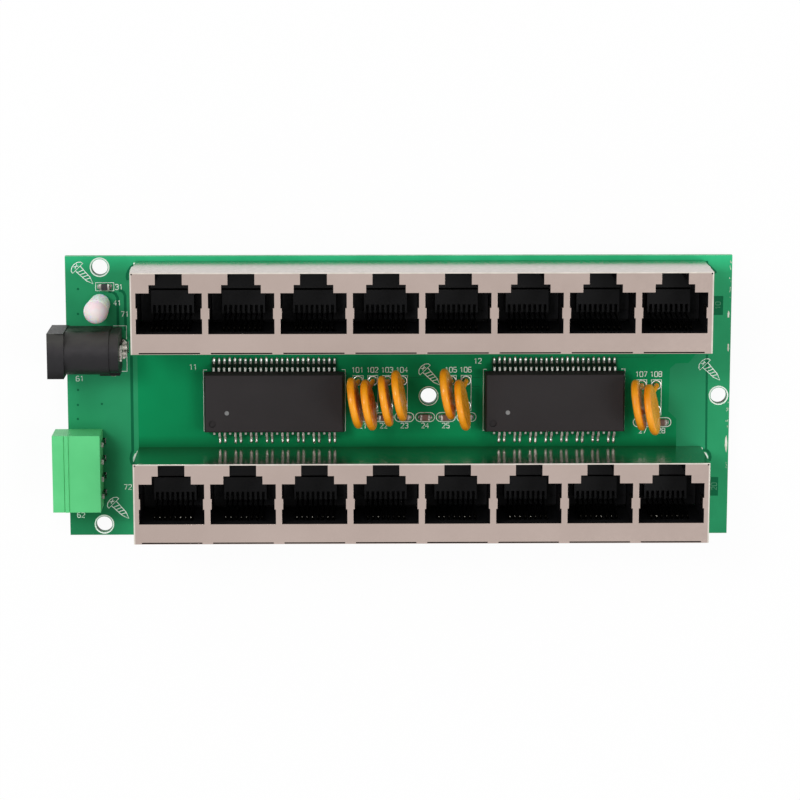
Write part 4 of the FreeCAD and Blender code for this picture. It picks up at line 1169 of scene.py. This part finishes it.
printLook = {
    "stroke": 0.165,
    "fine": 0.16,
    "ringStroke": 0.26,
    "height": 0.015,
    "digitHeight": 1.0,
    "digitStep": 0.83,  # share of the digit height
    "digitWidth": 0.6,
    "fuseBox": (2.0, 7.2),
    "fuseNumber": (-0.1, 1.15),  # from the middle of the box's upper side
    "chipRing": (3.85, 1.84),
    "resistorBox": (3.6, 1.62),
    "chipNumberDrop": 1.72,
    "holeRing": 3.66,
    "holes": ((-57.95, 26.1), (-57.95, -26.1), (65.4, 0.0)),
    "thinRing": (7.3, 0.0, 3.78),
    "signs": ((-61.15, 24.7), (-54.85, -23.0), (7.75, 4.1), (63.75, 5.0)),
    "signTurn": -46.0,
    "signSize": 0.86,
    "bodyBracket": (0.1, 0.7, 0.05, 0.1),  # mm out from the sides, arm, past the upper and lower side
    "jackBracket": (-0.25, 2.6, 4.3, 1.1, 4.9),  # past the pin, then arm and reach above and below it
    "finish": {"tones": ((242, 251, 244), (222, 238, 226)), "drift": 500.0, "rough": (0.5, 0.65)},
    "boxNumbers": 64.9,  # mm along X
    "boxFinish": {"tones": ((104, 176, 138), (88, 160, 122)), "rough": (0.5, 0.65)},
}
numbers = (  # text, place in mm
    ("31", -54.2, 22.15), ("41", -54.6, 18.95), ("71", -53.1, 16.7), ("72", -53.1, -18.45), ("61", -62.3, 3.7),
    ("62", -62.6, -24.2), ("11", -39.7, 6.0), ("12", 17.1, 7.1),
)
screwSign = (  # pan head with a cross, tapered thread; along and across in mm
    ((-1.9, -1.65), (-2.45, -1.55), (-2.95, -0.95), (-3.15, 0.0), (-2.95, 0.95), (-2.45, 1.55), (-1.9, 1.65),
     (-1.9, -1.65)),
    ((-1.9, 0.8), (1.5, 0.6), (3.1, 0.0), (1.5, -0.6), (-1.9, -0.8)),
    ((-2.8, -0.45), (-2.2, 0.5)), ((-2.25, -0.5), (-2.75, 0.55)),
    ((-1.3, -0.76), (-0.7, 0.72)), ((-0.5, -0.72), (0.1, 0.68)), ((0.3, -0.67), (0.9, 0.63)),
    ((1.1, -0.62), (1.7, 0.5)),
)
digitPaths = {
    "0": (((0.1, 0), (0.5, 0), (0.6, 0.15), (0.6, 0.85), (0.5, 1), (0.1, 1), (0, 0.85), (0, 0.15), (0.1, 0)),),
    "1": (((0.12, 0.8), (0.35, 1), (0.35, 0)),),
    "2": (((0, 0.85), (0.12, 1), (0.48, 1), (0.6, 0.85), (0.6, 0.62), (0, 0), (0.6, 0)),),
    "3": (((0, 0.9), (0.12, 1), (0.48, 1), (0.6, 0.88), (0.6, 0.62), (0.48, 0.52), (0.25, 0.52)),
          ((0.48, 0.52), (0.6, 0.4), (0.6, 0.12), (0.48, 0), (0.12, 0), (0, 0.1))),
    "4": (((0.45, 0), (0.45, 1), (0, 0.33), (0.62, 0.33)),),
    "5": (((0.58, 1), (0.05, 1), (0.02, 0.56), (0.45, 0.56), (0.6, 0.43), (0.6, 0.13), (0.48, 0), (0.12, 0),
           (0, 0.1)),),
    "6": (((0.55, 0.95), (0.42, 1), (0.15, 1), (0, 0.82), (0, 0.13), (0.12, 0), (0.48, 0), (0.6, 0.13), (0.6, 0.4),
           (0.48, 0.53), (0.12, 0.53), (0, 0.4)),),
    "7": (((0, 1), (0.6, 1), (0.2, 0)),),
    "8": (((0.12, 0), (0.48, 0), (0.6, 0.13), (0.6, 0.4), (0.48, 0.52), (0.12, 0.52), (0, 0.4), (0, 0.13), (0.12, 0)),
          ((0.12, 0.52), (0, 0.63), (0, 0.88), (0.12, 1), (0.48, 1), (0.6, 0.88), (0.6, 0.63), (0.48, 0.52))),
}


def turned(x, y, angle):
    return x * math.cos(angle) - y * math.sin(angle), x * math.sin(angle) + y * math.cos(angle)


def numberAt(text, x, y, angle=0.0):
    size, step = printLook["digitHeight"], printLook["digitStep"]
    start = -(step * (len(text) - 1) + printLook["digitWidth"]) / 2
    paths = []
    for place, digit in enumerate(text):
        for path in digitPaths[digit]:
            spots = [turned((start + step * place + across) * size, (up - 0.5) * size, angle) for across, up in path]
            paths.append([(x + across, y + up) for across, up in spots])
    return paths


def ringAt(x, y, across, sides=40):
    spots = [(x + across / 2 * math.cos(math.tau * step / sides), y + across / 2 * math.sin(math.tau * step / sides))
             for step in range(sides)]
    return spots + spots[:1]


def roundedBox(x, y, width, height, sides=8):
    half = height / 2
    spots = []
    for side, turn in ((1, -90), (-1, 90)):
        for step in range(sides + 1):
            angle = math.radians(turn + 180 * step / sides)
            spots.append((x + side * (width / 2 - half) + half * math.cos(angle), y + half * math.sin(angle)))
    return spots + spots[:1]


def fuseAndChipMarks():
    paths = []
    inX, up = printLook["fuseNumber"]
    for number, pair in enumerate(fusePairs, 1):
        spot = (pair[0][0] + pair[1][0]) / 2 / mm
        paths.append(boxAt(spot.x, spot.y, *printLook["fuseBox"]))
        paths += numberAt("10%d" % number, spot.x + inX, spot.y + printLook["fuseBox"][1] / 2 + up)
    for number in range(1, chipLook["count"] + 1):
        spot = middle("capacitor_%d" % number) / mm
        paths.append(roundedBox(spot.x, spot.y, *printLook["chipRing"]))
        paths += numberAt("2%d" % number, spot.x, spot.y - printLook["chipNumberDrop"])
    spot = middle("resistor_body") / mm
    paths.append(boxAt(spot.x, spot.y, *printLook["resistorBox"]))
    return paths


def cornerMarks():  # brackets at the transformers and behind the power jack
    paths = []
    out, arm, above, below = printLook["bodyBracket"]
    for number in (1, 2):
        low, high = (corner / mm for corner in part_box("magnetics_%d_body" % number))
        for side, edge in ((1, low.x - out), (-1, high.x + out)):
            end, upper, lower = edge + arm * side, high.y + above, low.y - below
            paths.append([(end, upper), (edge, upper), (edge, lower), (end, lower)])
    jack = middle("dc_jack_centre_pin") / mm
    past, armAbove, above, armBelow, below = printLook["jackBracket"]
    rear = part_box("dc_jack_centre_pin")[1].x / mm + past
    upper, lower = jack.y + above, jack.y - below
    paths.append([(rear - armAbove, upper), (rear, upper), (rear, lower), (rear - armBelow, lower)])
    return paths


def makePrint():
    paths = fuseAndChipMarks() + cornerMarks()
    for text, x, y in numbers:
        paths += numberAt(text, x, y)
    paths.append(ringAt(*printLook["thinRing"]))
    rings = [ringAt(x, y, printLook["holeRing"]) for x, y in printLook["holes"]]
    size, angle = printLook["signSize"], math.radians(printLook["signTurn"])
    signs = []
    for x, y in printLook["signs"]:
        for path in screwSign:
            spots = [turned(along, across, angle) for along, across in path]
            signs.append([(x + along * size, y + across * size) for along, across in spots])
    lines = [flatLines(group, printLook[stroke], printLook["height"])
             for group, stroke in ((paths, "stroke"), (rings, "ringStroke"), (signs, "fine"))]
    complete(joined(lines), "boardPrint", "silkscreen", finishOf("printInk", printLook["finish"]))
    marks = []
    for text, box in zip(("10", "20"), copperLook["boxes"]):
        marks += numberAt(text, printLook["boxNumbers"], box[1], math.pi / 2)
    marks = flatLines(marks, printLook["stroke"], printLook["height"])
    complete(marks, "boxNumbers", "board", finishOf("boxInk", printLook["boxFinish"]))


makePrint()
print("marks printed")

# solder: drops at the chips and shield tabs, the tab drops painted near white as highlights, joints under the board

jointLook = {
    "footSize": (1.0, 0.04),  # mm across and thick, before a joint is sized
    "sides": 10,
    "steps": ((0.03, 0.96), (0.18, 0.72), (0.3, 0.62), (0.3, 0.7)),
    "chipDrop": (0.6, 1.1, 0.34),
    "chipPast": 1.22,
    "chipVary": ((0.9, 1.1), (0.9, 1.05), (0.8, 1.2)),
    "cornerGlintDrop": (0.5, 0.6, 0.3),
    "tips": ((-51.02, 26.75), (62.2, 26.6), (-50.98, -11.3), (62.2, -10.9)),  # painted glints: solder drops at the row ends in the near-white tab finish
    "tabDrop": (2.0, 2.9, 0.9),
    "tabPast": {-1: 0.28, 1: 0.55},  # left, right
    "tabShift": -0.9,
    "tabVary": ((0.9, 1.2), (0.85, 1.15), (0.8, 1.2)),
    "tabDepth": 6.4,  # mm from the middle of the shield
    # painted highlight: the tab solder is near white and barely metallic, so its drops show as bright crescents
    "tabGlintFinish": {"tones": ((246, 254, 246), (228, 240, 228)), "drift": 900.0, "rough": (0.3, 0.45), "Metallic": 0.05},
    "wideVary": (0.94, 1.04),
    "highVary": (0.85, 1.1),
    "across": {"contact": 0.92, "fuse": 1.9, "lamp": 1.7, "header": 2.1, "tab": 2.2, "jack": 2.8},
}


def tailSpots():  # each tail under the board: place in metres and how wide its joint is
    spots = []
    for row in rowNames:
        for port in ports:
            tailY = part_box("%s_port_%d_contacts" % (row, port))[0].y + contactLook["gauge"] * mm / 2
            spots += [(x, tailY, "contact") for x in contactRow(row, port)]
        spots += [(x, y, "tab") for x, y in tabSpots(row)]
    for nodeName, kind in (("fuse_leads", "fuse"), ("led_leads", "lamp"), ("terminal_header_pins", "header"),
                           ("dc_jack_centre_pin", "jack"), ("dc_jack_sleeve_spring", "jack"),
                           ("dc_jack_switch_terminal", "jack")):
        for corners in looseSolids(nodeName):
            ends = [corner for corner in corners if corner.z < corners[0].z + sameLevel * mm]
            spot = sum(ends, Vector()) / len(ends)
            spots.append((spot.x, spot.y, kind))
    return spots


def tabSpots(row):
    low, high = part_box(row + "_jack_shield")
    depth = jointLook["tabDepth"] * mm
    centreY = (low.y + high.y) / 2
    return [(x, centreY + side * depth) for x in (low.x, high.x) for side in (-1, 1)]


def makeJoints():
    joint = rod(*jointLook["footSize"], jointLook["sides"])
    pulledUp(joint, jointLook["steps"])
    joint.rotation_euler.x = math.pi
    settle(joint)
    spots = tailSpots()
    sizes = []
    for x, y, kind in spots:
        wide = jointLook["across"][kind] * dice.uniform(*jointLook["wideVary"])
        sizes.append((wide, wide, dice.uniform(*jointLook["highVary"])))
    joints = repeated(joint, [(x, y, underside) for x, y, kind in spots], sizes, turn=True)
    complete(joints, "underJoints", "solder", solderFinish, smooth=60)


def makeDrops():
    spots, tabs = [], []
    for nodeName in ["capacitor_%d" % number for number in range(1, chipLook["count"] + 1)] + ["resistor_body"]:
        spot = middle(nodeName)
        spots += [(spot.x + side * jointLook["chipPast"] * mm, spot.y, deck) for side in (-1, 1)]
    solder = drops(jointLook["chipDrop"], spots, jointLook["chipVary"])
    complete(solder, "chipSolder", "solder", finishOf("chipSolder", chipLook["caps"]), smooth=60)
    for row in rowNames:
        for x, y in tabSpots(row):
            side = 1 if x > 0 else -1
            tabs.append((x + side * jointLook["tabPast"][side] * mm, y + jointLook["tabShift"] * mm, deck))
    # the drops at the tabs and row ends carry the painted highlight
    tips = repeated(bead(jointLook["cornerGlintDrop"]), [(x * mm, y * mm, deck) for x, y in jointLook["tips"]])
    solder = joined([drops(jointLook["tabDrop"], tabs, jointLook["tabVary"]), tips])
    complete(solder, "tabSolderGlint", "solder", finishOf("tabSolderGlint", jointLook["tabGlintFinish"]), smooth=60)


makeJoints()
makeDrops()
print("soldered")
